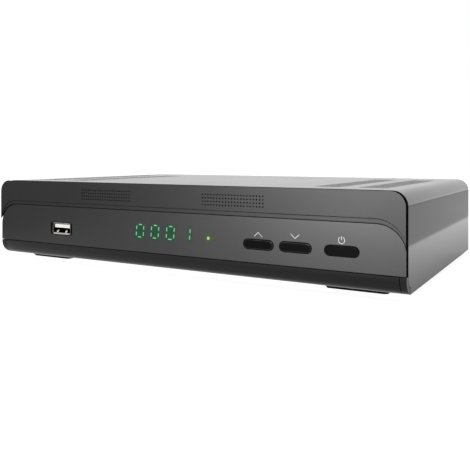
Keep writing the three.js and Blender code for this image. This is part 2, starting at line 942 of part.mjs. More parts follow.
function display() {
  const rise = displayRise;
  const front = plateBack + seatGap;
  const back = front + displayDepth;
  const left = frontPlaces.display - displayWidth / 2;
  const right = frontPlaces.display + displayWidth / 2;
  const foot = rise - displayHeight / 2;
  const top = rise + displayHeight / 2;
  const module = block(left, right, front, back, foot, top);
  const spacer = block(
    left + displaySpacerInset,
    right - displaySpacerInset,
    back + seatGap,
    frontBoardSetback - seatGap,
    foot + displaySpacerInset,
    top - displaySpacerInset,
  );
  const group = new THREE.Group();
  group.add(piece("display_module", module, whitePlastic), piece("display_spacer", spacer, blackPlastic));
  return group;
}

function statusLight() {
  const rise = lightRise;
  const chipFront = frontBoardSetback - seatGap - lightChipHeight;
  const half = lightChipSide / 2;
  const headFront = plateBack + seatGap;
  const profile = [
    point(0, plateFront),
    point(lightRadius, plateFront),
    point(lightRadius, headFront),
    point(lightHeadRadius, headFront),
    point(lightHeadRadius, headFront + lightHeadLength),
    point(lightRadius, headFront + lightHeadLength),
    point(lightRadius, chipFront - seatGap),
    point(0, chipFront - seatGap),
  ];
  const chip = block(
    frontPlaces.light - half,
    frontPlaces.light + half,
    chipFront,
    frontBoardSetback - seatGap,
    rise - half,
    rise + half,
  );
  const group = new THREE.Group();
  group.add(
    piece("status_light_pipe", turned(profile, frontPlaces.light, rise, smallRoundSteps), whitePlastic),
    piece("status_light", chip, whitePlastic),
  );
  return group;
}

function infraredReceiver() {
  const rise = displayRise;
  const back = frontBoardSetback - seatGap;
  const front = back - infraredDepth;
  const half = infraredSide / 2;
  const middle = frontPlaces.infrared;
  const body = block(middle - half, middle + half, front, back, rise - half, rise + half);
  const dome = [point(0, front - infraredDomeRadius)];
  for (const p of arc(0, 0, infraredDomeRadius, -Math.PI / 2, 0, cornerSteps / 2).slice(1)) {
    dome.push(point(p.x, front + p.y));
  }
  dome.push(point(infraredDomeRadius, front + infraredDepth / 2), point(0, front + infraredDepth / 2));
  return piece("ir_receiver", body.add(turned(dome, middle, rise, smallRoundSteps)), blackPlastic);
}

function frontDataSocket() {
  const halfIn = usbInnerWidth / 2;
  const tallIn = usbInnerHeight / 2;
  const back = frontBoardSetback - seatGap;
  const cavityBack = back - usbBackThickness;
  const mouth = usbSetback + usbFlareLength;
  const ring = (grow) =>
    rectangle(
      frontPlaces.usb - halfIn - grow,
      frontPlaces.usb + halfIn + grow,
      usbRise - tallIn - grow,
      usbRise + tallIn + grow,
    );
  const outer = loft([
    { y: usbSetback, points: ring(usbWall + usbFlare) },
    { y: mouth, points: ring(usbWall) },
    { y: back, points: ring(usbWall) },
  ]);
  const flareCut = loft([
    { y: usbSetback - usbFlareLength, points: ring(2 * usbFlare) },
    { y: usbSetback, points: ring(usbFlare) },
    { y: mouth, points: ring(0) },
    { y: cavityBack, points: ring(0) },
  ]);
  const top = usbRise + tallIn - seatGap;
  const tongue = block(
    frontPlaces.usb - usbTongueWidth / 2,
    frontPlaces.usb + usbTongueWidth / 2,
    usbSetback + usbTongueSetback,
    cavityBack - seatGap,
    top - usbTongueThickness,
    top,
  );
  const group = new THREE.Group();
  group.add(
    piece("usb_shell", outer.subtract(flareCut), brightMetal),
    piece("usb_tongue", tongue, whitePlastic),
  );
  return group;
}

function boardBosses(left, right, front, back) {
  const places = [];
  for (const x of [left + bossInset, right - bossInset]) {
    for (const y of [front + bossInset, back - bossInset]) places.push([x, y]);
  }
  return places.map(([x, y]) =>
    upright(circle(x, y, bossRadius, smallRoundSteps), sheetThickness / 2, boardFoot - seatGap),
  );
}

function rearCutOuts() {
  const from = panelInner - cutOverrun;
  const to = panelOuter + cutOverrun;
  const cutters = [];
  for (const x of Object.values(aerials)) {
    cutters.push(running(circle(x, aerialHeight, aerialRadius + seatGap, roundSteps), from, to));
  }
  for (const x of Object.values(euros)) cutters.push(running(euroOutline(x, seatGap), from, to));
  cutters.push(running(digitalOutline(seatGap), from, to));
  cutters.push(running(circle(rearPlaces.audio, audioHeight, audioRadius + seatGap, roundSteps), from, to));
  cutters.push(running(inletOutline(seatGap), from, to));
  const half = switchWidth / 2 + seatGap;
  const tall = switchHalfHeight + seatGap;
  const middle = rearPlaces.power_switch;
  const outline = rectangle(middle - half, middle + half, switchMiddle - tall, switchMiddle + tall);
  cutters.push(running(outline, from, to));
  for (const x of Object.values(screwPlaces)) {
    cutters.push(running(circle(x, screwHeight, screwShankRadius + seatGap, smallRoundSteps), from, to));
  }
  return cutters;
}

const footPlaces = {
  foot_front_left: [footSideInset - halfWidth, footFrontInset],
  foot_front_right: [halfWidth - footSideInset, footFrontInset],
  foot_rear_left: [footSideInset - halfWidth, caseDepth - footRearInset],
  foot_rear_right: [halfWidth - footSideInset, caseDepth - footRearInset],
};

function baseChassis() {
  const floorFront = chinFoot + seatGap;
  const flangeFront = neckDepth + seatGap;
  const floor = block(-innerHalf, innerHalf, floorFront, panelOuter, 0, sheetThickness);
  const left = block(-innerHalf, sheetThickness - innerHalf, flangeFront, panelOuter, 0, flangeHeight);
  const right = block(innerHalf - sheetThickness, innerHalf, flangeFront, panelOuter, 0, flangeHeight);
  const panelCorner = caseCornerRadius - sheetThickness - seatGap;
  const panel = running(roundedTop(innerHalf, 0, innerTop, panelCorner, cornerSteps), panelInner, panelOuter);
  const bosses = [
    ...boardBosses(mainBoardLeft, mainBoardRight, mainBoardFront, boardRear),
    ...boardBosses(powerBoardLeft, powerBoardRight, powerBoardFront, boardRear),
  ];
  const tray = joined([floor, left, right, panel, ...bosses]);
  const cutters = rearCutOuts();
  const fieldLength = caseDepth - floorVentRearInset - floorVentStart;
  const count = Math.floor((fieldLength - floorVentWidth) / floorVentPitch) + 1;
  for (const x of [-halfWidth * floorVentPlaceShare, halfWidth * floorVentPlaceShare]) {
    for (let i = 0; i < count; i++) {
      const y = floorVentStart + floorVentWidth / 2 + i * floorVentPitch;
      const outline = pill(x, y, floorVentLength, floorVentWidth, slotEndSteps);
      cutters.push(upright(outline, -cutOverrun, sheetThickness + cutOverrun));
    }
  }
  for (const [x, y] of Object.values(footPlaces)) {
    const hole = circle(x, y, footPinRadius + seatGap, smallRoundSteps);
    cutters.push(upright(hole, -cutOverrun, sheetThickness + cutOverrun));
  }
  return piece("base_chassis", cutAll(tray, cutters), zincSteel);
}

// Rubber feet with a straight front, a narrower tread and a pin that holds them in the floor
function feet() {
  const group = new THREE.Group();
  for (const [name, [x, y]] of Object.entries(footPlaces)) {
    const pad = (inset) =>
      roundedRectangle(
        x,
        y,
        footWidth - 2 * inset,
        footDepth - 2 * inset,
        footCornerRadius - inset,
        cornerSteps / 2,
      );
    const body = upright(pad(0), footTread - footHeight, -seatGap);
    const tread = upright(pad(footTreadInset), -footHeight, footTread + joinOverlap - footHeight);
    const pin = upright(circle(x, y, footPinRadius, smallRoundSteps), -seatGap - joinOverlap, sheetThickness);
    group.add(piece(name, joined([body, tread, pin]), footRubber));
  }
  return group;
}

function processor() {
  const half = processorSide / 2;
  const x = acrossMain(processorAcrossShare);
  const y = mainBoardFront + (boardRear - mainBoardFront) * processorBackShare;
  const memoryMiddle = acrossMain(memoryAcrossShare);
  const chip = block(
    x - half,
    x + half,
    y - half,
    y + half,
    onBoard,
    onBoard + processorHeight,
  );
  const foot = onBoard + processorHeight + seatGap;
  const left = x - sinkSide / 2;
  const gaps = Math.floor(sinkSide / sinkFinPitch);
  const pitch = (sinkSide - sinkFinThickness) / gaps;
  const comb = [point(left, foot), point(left + sinkSide, foot)];
  for (let i = gaps; i >= 0; i--) {
    const fin = left + i * pitch;
    comb.push(point(fin + sinkFinThickness, foot + sinkHeight), point(fin, foot + sinkHeight));
    if (i > 0) comb.push(point(fin, foot + sinkBase), point(fin - pitch + sinkFinThickness, foot + sinkBase));
  }
  const sink = running(comb, y - sinkSide / 2, y + sinkSide / 2);
  const memory = block(
    memoryMiddle - memoryWidth / 2,
    memoryMiddle + memoryWidth / 2,
    y - memoryDepth / 2,
    y + memoryDepth / 2,
    onBoard,
    onBoard + memoryHeight,
  );
  const group = new THREE.Group();
  group.add(
    piece("main_processor", chip, blackPlastic),
    piece("processor_heat_sink", sink, aluminium),
    piece("memory_chip", memory, blackPlastic),
  );
  return group;
}

function mainBoard() {
  const board = block(mainBoardLeft, mainBoardRight, mainBoardFront, boardRear, boardFoot, boardTop);
  return piece("main_board", board, boardGreen);
}

function tuner() {
  const left = rearPlaces.aerial_out - tunerMargin;
  const right = rearPlaces.aerial_in + tunerMargin;
  const front = boardRear - tunerDepth;
  const body = block(left, right, front, boardRear, onBoard, onBoard + tunerHeight);
  const lid = block(
    left - tunerLidLap,
    right + tunerLidLap,
    front - tunerLidLap,
    boardRear,
    onBoard + tunerHeight - tunerLidHeight,
    onBoard + tunerHeight + tunerLidLap,
  );
  return piece("tuner_can", body.add(lid), brightMetal);
}

function aerialSocket(name, x) {
  const back = caseDepth + aerialReach;
  const front = boardRear + seatGap;
  const profile = [
    point(0, front),
    point(aerialRadius, front),
    point(aerialRadius, back - aerialChamfer),
    point(aerialRadius - aerialChamfer, back),
    point(aerialCoreRadius, back),
    point(aerialCoreRadius, back - aerialCoreRecess),
    point(aerialPinHole, back - aerialCoreRecess),
    point(aerialPinHole, back - aerialPinDepth),
    point(0, back - aerialPinDepth),
  ];
  return piece(name + "_socket", turned(profile, x, aerialHeight, roundSteps), brightMetal);
}

function aerialNut(name, x) {
  const front = panelOuter + seatGap;
  const hole = circle(x, aerialHeight, aerialRadius + seatGap, roundSteps);
  const outline = circle(x, aerialHeight, aerialNutRadius, nutSides);
  const nut = running(outline, front, front + aerialNutThickness, [hole]);
  return piece(name + "_nut", nut, brightMetal);
}

function euroSocket(name, x) {
  const back = panelOuter + euroReach;
  const body = running(euroOutline(x, 0), back - euroBodyDepth, back);
  const groove = running(euroOutline(x, -euroGrooveInset), back - euroGrooveDepth, back + cutOverrun, [
    euroOutline(x, -euroGrooveInset - euroGrooveWidth),
  ]);
  return piece(name, body.subtract(groove), blackPlastic);
}

function digitalSocket() {
  const back = panelOuter + digitalReach;
  const front = back - digitalLength;
  const cavityFront = front + digitalBackThickness;
  const shell = running(digitalOutline(0), front, back);
  const cavity = running(digitalOutline(-digitalWall), cavityFront, back + cutOverrun);
  const middle = onBoard + digitalHeight / 2;
  const tongue = block(
    rearPlaces.digital - digitalTongueWidth / 2,
    rearPlaces.digital + digitalTongueWidth / 2,
    cavityFront + seatGap,
    back - digitalTongueSetback,
    middle - digitalTongueThickness / 2,
    middle + digitalTongueThickness / 2,
  );
  const group = new THREE.Group();
  group.add(
    piece("digital_av_shell", shell.subtract(cavity), brightMetal),
    piece("digital_av_tongue", tongue, blackPlastic),
  );
  return group;
}

function audioSocket() {
  const back = panelOuter + audioReach;
  const bodyBack = boardRear;
  const body = block(
    rearPlaces.audio - audioBodyWidth / 2,
    rearPlaces.audio + audioBodyWidth / 2,
    bodyBack - audioBodyDepth,
    bodyBack,
    onBoard,
    onBoard + audioBodyHeight,
  );
  const profile = [
    point(0, bodyBack - audioBodyDepth / 2),
    point(audioRadius, bodyBack - audioBodyDepth / 2),
    point(audioRadius, back),
    point(audioBoreRadius, back),
    point(audioBoreRadius, back - audioBoreDepth),
    point(0, back - audioBoreDepth),
  ];
  const barrel = turned(profile, rearPlaces.audio, audioHeight, roundSteps);
  return piece("digital_audio_socket", body.add(barrel), orangePlastic);
}

function powerBoard() {
  const group = new THREE.Group();
  const board = block(powerBoardLeft, powerBoardRight, powerBoardFront, boardRear, boardFoot, boardTop);
  const inset = bossInset + bossRadius + seatGap;
  const insulator = block(
    powerBoardLeft + inset,
    powerBoardRight - inset,
    powerBoardFront,
    boardRear - inset,
    sheetThickness + seatGap,
    sheetThickness + seatGap + insulatorThickness,
  );
  group.add(piece("power_board", board, boardTan), piece("insulating_sheet", insulator, clearSheet));
  return group;
}

function transformer() {
  const middle = acrossPower(powerAcrossShares.transformer);
  const half = transformerWidth / 2;
  const deep = transformerDepth / 2;
  const core = block(
    middle - half,
    middle + half,
    powerRows.transformer - deep + transformerCoreInset,
    powerRows.transformer + deep - transformerCoreInset,
    onBoard,
    onBoard + transformerHeight,
  );
  const winding = block(
    middle - half + transformerCoreInset,
    middle + half - transformerCoreInset,
    powerRows.transformer - deep,
    powerRows.transformer + deep,
    onBoard,
    onBoard + transformerHeight - transformerCoreInset,
  );
  return piece("transformer", core.add(winding), windingYellow);
}

function capacitor(name, y, x, radius, height) {
  const profile = [
    point(0, onBoard),
    point(radius, onBoard),
    point(radius, onBoard + capCrimpHeight),
    point(radius - capCrimpInset, onBoard + capCrimpHeight + capCrimpInset),
    point(radius, onBoard + capCrimpHeight + 2 * capCrimpInset),
    point(radius, onBoard + height - capCrimpInset),
    point(radius - capCrimpInset, onBoard + height),
    point(0, onBoard + height),
  ];
  return piece(name, turnedUpright(profile, x, y, roundSteps), sleeveBlack);
}

function powerParts() {
  const group = new THREE.Group();
  const left = acrossPower(powerAcrossShares.sink) - powerSinkFin / 2;
  const right = left + powerSinkFin;
  const front = powerRows.front - powerSinkLength / 2;
  const back = powerRows.front + powerSinkLength / 2;
  const bulkMiddle = acrossPower(powerAcrossShares.bulk);
  const output = [acrossPower(powerAcrossShares.output), outputRadius, outputHeight];
  const channel = [
    point(left, front),
    point(right, front),
    point(right, front + powerSinkThickness),
    point(left + powerSinkThickness, front + powerSinkThickness),
    point(left + powerSinkThickness, back - powerSinkThickness),
    point(right, back - powerSinkThickness),
    point(right, back),
    point(left, back),
  ];
  group.add(
    transformer(),
    capacitor("bulk_capacitor", powerRows.bulk, bulkMiddle, bulkRadius, bulkHeight),
    capacitor("output_capacitor_front", powerRows.front - outputPitch / 2, ...output),
    capacitor("output_capacitor_rear", powerRows.front + outputPitch / 2, ...output),
    piece("power_heat_sink", upright(channel, onBoard, onBoard + powerSinkHeight), aluminium),
  );
  return group;
}

function mainsInlet() {
  const back = panelOuter + inletReach;
  const mouthFront = back - inletMouthDepth;
  const body = running(inletOutline(0), inletFront, back);
  const mouth = running(
    pill(rearPlaces.inlet, inletMiddle, inletMouthWidth, inletMouthHeight, cornerSteps / 2),
    mouthFront,
    back + cutOverrun,
  );
  const foot = block(
    rearPlaces.inlet - (inletWidth * inletFootShare) / 2,
    rearPlaces.inlet + (inletWidth * inletFootShare) / 2,
    inletFront,
    boardRear,
    onBoard,
    inletMiddle - inletMouthHeight / 2 - seatGap,
  );
  const group = new THREE.Group();
  group.add(piece("mains_inlet", body.add(foot).subtract(mouth), blackPlastic));
  for (const [name, side] of [
    ["mains_pin_left", -1],
    ["mains_pin_right", 1],
  ]) {
    const profile = [
      point(0, mouthFront + seatGap),
      point(inletPinRadius, mouthFront + seatGap),
      point(inletPinRadius, mouthFront + seatGap + inletPinLength - inletPinRadius / 2),
      point(inletPinRadius / 2, mouthFront + seatGap + inletPinLength),
      point(0, mouthFront + seatGap + inletPinLength),
    ];
    const x = rearPlaces.inlet + (side * inletPinPitch) / 2;
    group.add(piece(name, turned(profile, x, inletMiddle, smallRoundSteps), brightMetal));
  }
  return group;
}

function switchFrame() {
  const half = switchWidth / 2;
  const frameFront = panelOuter + seatGap;
  const frameBack = frameFront + switchFrameThickness;
  const bodyFront = panelOuter - switchBodyDepth;
  const side = (grow) =>
    rectangle(
      rearPlaces.power_switch - half - grow,
      rearPlaces.power_switch + half + grow,
      switchMiddle - switchHalfHeight - grow,
      switchMiddle + switchHalfHeight + grow,
    );
  const lap = running(side(switchFrameLap), frameFront, frameBack);
  const body = running(side(0), bodyFront, frameBack).add(lap);
  const well = block(
    rearPlaces.power_switch - rockerWidth / 2 - seatGap,
    rearPlaces.power_switch + rockerWidth / 2 + seatGap,
    rockerPivot - rockerValley - seatGap,
    frameBack + cutOverrun,
    switchMiddle - rockerSweep,
    switchMiddle + rockerSweep,
  );
  const pin = crossing(
    circle(rockerPivot, switchMiddle, rockerPinRadius + seatGap, smallRoundSteps),
    rearPlaces.power_switch - rockerWidth / 2 - rockerPinLength - seatGap,
    rearPlaces.power_switch + rockerWidth / 2 + rockerPinLength + seatGap,
  );
  return piece("power_switch_frame", cutAll(body, [well, pin]), blackPlastic);
}

function powerRocker() {
  const shoulder = rockerHalfLength * rockerShoulderShare;
  const keel = rockerHalfLength * rockerKeelShare;
  const outline = [
    point(rockerEnd, -rockerHalfLength),
    point(rockerValley, 0),
    point(rockerEnd, rockerHalfLength),
    point(rockerValley * rockerShoulderRiseShare, shoulder),
    point(-rockerValley * rockerKeelRiseShare, keel),
    point(-rockerValley * rockerKeelRiseShare, -keel),
    point(rockerValley * rockerShoulderRiseShare, -shoulder),
  ];
  const paddle = crossing(outline, -rockerWidth / 2, rockerWidth / 2);
  const pin = crossing(
    circle(0, 0, rockerPinRadius, smallRoundSteps),
    -rockerWidth / 2 - rockerPinLength,
    rockerWidth / 2 + rockerPinLength,
  );
  const rocker = piece("power_rocker", paddle.add(pin), blackPlastic);
  rocker.position.set(rearPlaces.power_switch, rockerPivot, switchMiddle);
  rocker.rotation.x = -rockerTilt;
  return rocker;
}

// Outline of a flat lead that follows a curve
function leadOutline(curve) {
  const near = [];
  const far = [];
  for (let i = 0; i <= curveSteps; i++) {
    const place = curve.getPoint(i / curveSteps);
    const along = curve.getTangent(i / curveSteps);
    const across = point(-along.y, along.x).multiplyScalar(leadThickness / 2);
    near.push(place.clone().add(across));
    far.push(place.clone().sub(across));
  }
  return [...near, ...far.reverse()];
}

function frontRibbon() {
  const group = new THREE.Group();
  const left = ribbonOffset - ribbonWidth / 2;
  const right = ribbonOffset + ribbonWidth / 2;
  const socketMargin = leadThickness;
  const boardBack = frontBoardSetback + boardThickness + seatGap;
  const high = (frontBoardFoot + frontBoardTop) / 2;
  const front = block(
    left - socketMargin,
    right + socketMargin,
    boardBack,
    boardBack + ribbonSocketDepth,
    high - ribbonSocketHeight / 2,
    high + ribbonSocketHeight / 2,
  );
  const rearFront = mainBoardFront + seatGap;
  const rear = block(
    left - socketMargin,
    right + socketMargin,
    rearFront,
    rearFront + ribbonSocketDepth,
    onBoard,
    onBoard + ribbonSocketHeight,
  );
  const start = point(boardBack + ribbonSocketDepth + seatGap, high);
  const end = point(rearFront - seatGap, onBoard + ribbonSocketHeight / 2);
  const middle = (start.x + end.x) / 2;
  const curve = new THREE.CubicBezierCurve(start, point(middle, start.y), point(middle, end.y), end);
  group.add(
    piece("ribbon_socket_front", front, whitePlastic),
    piece("ribbon_socket_main", rear, whitePlastic),
    piece("front_ribbon", crossing(leadOutline(curve), left, right), ribbonGrey),
  );
  return group;
}

function powerLead() {
  const start = point(powerBoardRight - powerLeadInset, onBoard);
  const end = point(mainBoardLeft + powerLeadInset, onBoard);
  const high = onBoard + powerLeadArch;
  const curve = new THREE.CubicBezierCurve(start, point(start.x, high), point(end.x, high), end);
  const strip = running(
    leadOutline(curve),
    powerRows.transformer - powerLeadWidth / 2,
    powerRows.transformer + powerLeadWidth / 2,
  );
  return piece("power_lead", strip, ribbonGrey);
}

function switchLead() {
  const start = point(panelOuter - switchBodyDepth - seatGap, switchMiddle);
  const end = point(start.x - switchLeadReach, onBoard);
  const curve = new THREE.QuadraticBezierCurve(start, point(end.x, start.y), end);
  const left = rearPlaces.power_switch - switchLeadWidth / 2;
  return piece("switch_lead", crossing(leadOutline(curve), left, left + switchLeadWidth), sleeveBlack);
}

const receiver = new THREE.Group();
receiver.position.set(0, -(caseDepth + aerialReach) / 2, footHeight);
receiver.add(
  topCover(),
  baseChassis(),
  feet(),
  frontBezel(),
  fasciaLens(),
  keys(),
  frontBoard(),
  display(),
  statusLight(),
  infraredReceiver(),
  frontDataSocket(),
  mainBoard(),
  processor(),
  tuner(),
  digitalSocket(),
  audioSocket(),
  powerBoard(),
  powerParts(),
  mainsInlet(),
  switchFrame(),
  powerRocker(),
  frontRibbon(),
  powerLead(),
  switchLead(),
);
for (const [side, x] of Object.entries(screwPlaces)) receiver.add(coverScrew("cover_screw_" + side, x));
for (const [name, x] of Object.entries(aerials)) receiver.add(aerialSocket(name, x), aerialNut(name, x));
for (const [name, x] of Object.entries(euros)) receiver.add(euroSocket(name, x));

export default receiver;
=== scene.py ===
"""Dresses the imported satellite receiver: front, keys, display, sockets, cover, inside and studio."""

import logging
import math
from dataclasses import dataclass, field, replace
from enum import Enum

import bmesh
import bpy
from mathutils import Euler, Matrix, Vector


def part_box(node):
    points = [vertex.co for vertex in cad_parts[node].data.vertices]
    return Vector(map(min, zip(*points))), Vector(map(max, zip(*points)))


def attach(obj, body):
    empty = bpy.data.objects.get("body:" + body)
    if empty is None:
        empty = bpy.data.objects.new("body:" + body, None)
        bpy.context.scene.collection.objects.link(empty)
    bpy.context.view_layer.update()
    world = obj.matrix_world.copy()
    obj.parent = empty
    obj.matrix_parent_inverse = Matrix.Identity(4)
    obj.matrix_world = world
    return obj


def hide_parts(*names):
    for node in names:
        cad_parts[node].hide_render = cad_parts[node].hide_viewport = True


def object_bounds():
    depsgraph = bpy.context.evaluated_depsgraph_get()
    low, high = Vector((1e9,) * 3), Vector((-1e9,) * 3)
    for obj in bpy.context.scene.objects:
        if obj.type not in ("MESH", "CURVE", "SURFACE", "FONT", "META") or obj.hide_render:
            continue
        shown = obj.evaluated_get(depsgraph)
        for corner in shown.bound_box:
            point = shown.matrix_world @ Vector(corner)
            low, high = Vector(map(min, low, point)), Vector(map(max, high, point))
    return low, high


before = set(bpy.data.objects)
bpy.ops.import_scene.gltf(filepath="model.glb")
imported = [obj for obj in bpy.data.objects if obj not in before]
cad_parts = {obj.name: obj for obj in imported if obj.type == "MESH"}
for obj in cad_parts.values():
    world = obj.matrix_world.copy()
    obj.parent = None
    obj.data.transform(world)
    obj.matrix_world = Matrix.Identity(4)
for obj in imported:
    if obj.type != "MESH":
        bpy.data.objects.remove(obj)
CAD_BOX = [list(corner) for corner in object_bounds()]

log = logging.getLogger("receiver")

Color = tuple[float, float, float]
Point = tuple[float, float]
Place = tuple[float, float, float]

MERGE_DISTANCE = 2e-6
FLAT_ANGLE = math.radians(0.4)
SMOOTH_ANGLE = math.radians(32)
ROOM_SHARE = 2.0

# How much of a face's normal has to point one way for the face to count as facing it
MOSTLY = 0.5
SQUARELY = 0.9
FLATLY = 0.98

BROAD_FACE_WEIGHT = 100
PIN_SIDES = 10
RIDGE_SIDES = 32
ROUND_STEPS = 20

# Sockets of a colour Mix node, whose names repeat
MIX_FIRST = 6
MIX_SECOND = 7
MIX_RESULT = 2

# How the grain and the broad mottling of a surface are drawn
BRUSHED_STRETCH = (0.04, 1.0, 1.0)
GRAIN_SHARE = 0.5
FINE_DETAIL = 4.0
PLAIN_DETAIL = 2.0
MOTTLE_DETAIL = 3.0
TRACK_GAP = 0.08
TRACK_BIAS = -0.4


class Body(Enum):
    """The bodies of the frame that pieces ride on."""

    CASE = "case"
    UP_KEY = "up_key"
    DOWN_KEY = "down_key"
    POWER_KEY = "power_key"
    ROCKER = "rocker"


class Grain(Enum):
    """How the surface of a finish is worked."""

    MOULDED = "moulded"
    BRUSHED = "brushed"
    POWDER = "powder"
    SPANGLED = "spangled"
    PRINTED_BOARD = "printed board"


# Node trees


class Wire:
    """An output socket that adds Math nodes when Python's operators are used on it."""

    def __init__(self, tree: bpy.types.NodeTree, socket: bpy.types.NodeSocket) -> None:
        """Keeps the socket and the tree that it is in.

        Args:
            tree: The node tree.
            socket: An output socket of one of its nodes.
        """
        self.tree = tree
        self.socket = socket

    def math(self, operation: str, first: "Wire | float", second: "Wire | float") -> "Wire":
        """Adds a Math node.

        Args:
            operation: The node's operation.
            first: Its first value.
            second: Its second value.

        Returns:
            The node's output.
        """
        canvas = Canvas(self.tree)
        return canvas.wire("ShaderNodeMath", {"operation": operation}, {0: first, 1: second})

    def __add__(self, other: "Wire | float") -> "Wire":
        """Sum."""
        return self.math("ADD", self, other)

    def __radd__(self, other: float) -> "Wire":
        """Sum with a number on the left."""
        return self.math("ADD", other, self)

    def __sub__(self, other: "Wire | float") -> "Wire":
        """Difference."""
        return self.math("SUBTRACT", self, other)

    def __rsub__(self, other: float) -> "Wire":
        """Difference with a number on the left."""
        return self.math("SUBTRACT", other, self)

    def __mul__(self, other: "Wire | float") -> "Wire":
        """Product."""
        return self.math("MULTIPLY", self, other)

    def __rmul__(self, other: float) -> "Wire":
        """Product with a number on the left."""
        return self.math("MULTIPLY", other, self)

    def __truediv__(self, other: "Wire | float") -> "Wire":
        """Quotient."""
        return self.math("DIVIDE", self, other)

    def __rtruediv__(self, other: float) -> "Wire":
        """Quotient with a number on the left."""
        return self.math("DIVIDE", other, self)

    def __pow__(self, other: float) -> "Wire":
        """Power."""
        return self.math("POWER", self, other)

    def __rpow__(self, other: float) -> "Wire":
        """Power with a number on the left."""
        return self.math("POWER", other, self)

    def absolute(self) -> "Wire":
        """Size without its sign."""
        return self.math("ABSOLUTE", self, 0.0)

    def less_than(self, other: "Wire | float") -> "Wire":
        """1 where it is less than another value, otherwise 0."""
        return self.math("LESS_THAN", self, other)

    def at_least(self, other: "Wire | float") -> "Wire":
        """The larger of two values."""
        return self.math("MAXIMUM", self, other)


class Canvas:
    """Adds nodes to one tree."""

    def __init__(self, tree: bpy.types.NodeTree) -> None:
        """Keeps the tree.

        Args:
            tree: The node tree to add to.
        """
        self.tree = tree

    def node(self, kind: str, settings: dict | None = None, inputs: dict | None = None) -> bpy.types.Node:
        """Adds a node, sets it up and joins its inputs.

        Args:
            kind: The node's type.
            settings: Its properties by name; "stops" holds a ramp's places and colours.
            inputs: Values, sockets or wires by the input's name or number.

        Returns:
            The node.
        """
        made = self.tree.nodes.new(kind)
        for name, value in (settings or {}).items():
            if name == "stops":
                ramp = made.color_ramp
                while len(ramp.elements) < len(value):
                    ramp.elements.new(1.0)
                for element, (place, color) in zip(ramp.elements, value):
                    element.position = place
                    element.color = color
            else:
                setattr(made, name, value)
        for name, value in (inputs or {}).items():
            socket = made.inputs[name]
            if isinstance(value, Wire):
                self.tree.links.new(value.socket, socket)
            elif isinstance(value, bpy.types.NodeSocket):
                self.tree.links.new(value, socket)
            else:
                socket.default_value = value
        return made

    def wire(
        self, kind: str, settings: dict | None = None, inputs: dict | None = None, output: str | int = 0
    ) -> Wire:
        """Adds a node and hands back one of its outputs.

        Args:
            kind: The node's type.
            settings: Its properties by name.
            inputs: Values, sockets or wires by the input's name or number.
            output: The name or number of the output.

        Returns:
            That output as a wire.
        """
        return Wire(self.tree, self.node(kind, settings, inputs).outputs[output])

    def mix(self, share: Wire, first: Color, second: Color) -> Wire:
        """Blends two colours.

        Args:
            share: How much of the second there is, held between 0 and 1.
            first: The first colour.
            second: The second colour.

        Returns:
            The blend.
        """
        settings = {"data_type": "RGBA", "clamp_factor": True}
        colors = {"Factor": share, MIX_FIRST: (*first, 1.0), MIX_SECOND: (*second, 1.0)}
        return self.wire("ShaderNodeMix", settings, colors, MIX_RESULT)

    def object_place(self) -> tuple[Wire, Wire, Wire]:
        """Where a point is on its object.

        Returns:
            Its x, y and z.
        """
        place = self.wire("ShaderNodeTexCoord", output="Object")
        parts = self.node("ShaderNodeSeparateXYZ", {}, {"Vector": place})
        return tuple(Wire(self.tree, parts.outputs[axis]) for axis in ("X", "Y", "Z"))


# Finishes


@dataclass(frozen=True)
class Halo:
    """A soft glow behind a tinted panel, with its middle and half sizes in x and z."""

    color: Color
    x: float
    z: float
    half_width: float
    half_height: float
    squareness: float = 2.0
    fall: float = 0.5
    cover: float = 0.57

    def strength(self, across: Wire, up: Wire) -> Wire:
        """How strongly it shows at a place, in place of the panel's own sheen.

        Args:
            across: The place's x.
            up: Its z.

        Returns:
            From 0 outside it to its cover in its middle.
        """
        u = ((across - self.x) / self.half_width).absolute() ** self.squareness
        v = ((up - self.z) / self.half_height).absolute() ** self.squareness
        away = (u + v) ** (1.0 / self.squareness)
        return (1.0 - away).at_least(0.0) ** self.fall * self.cover


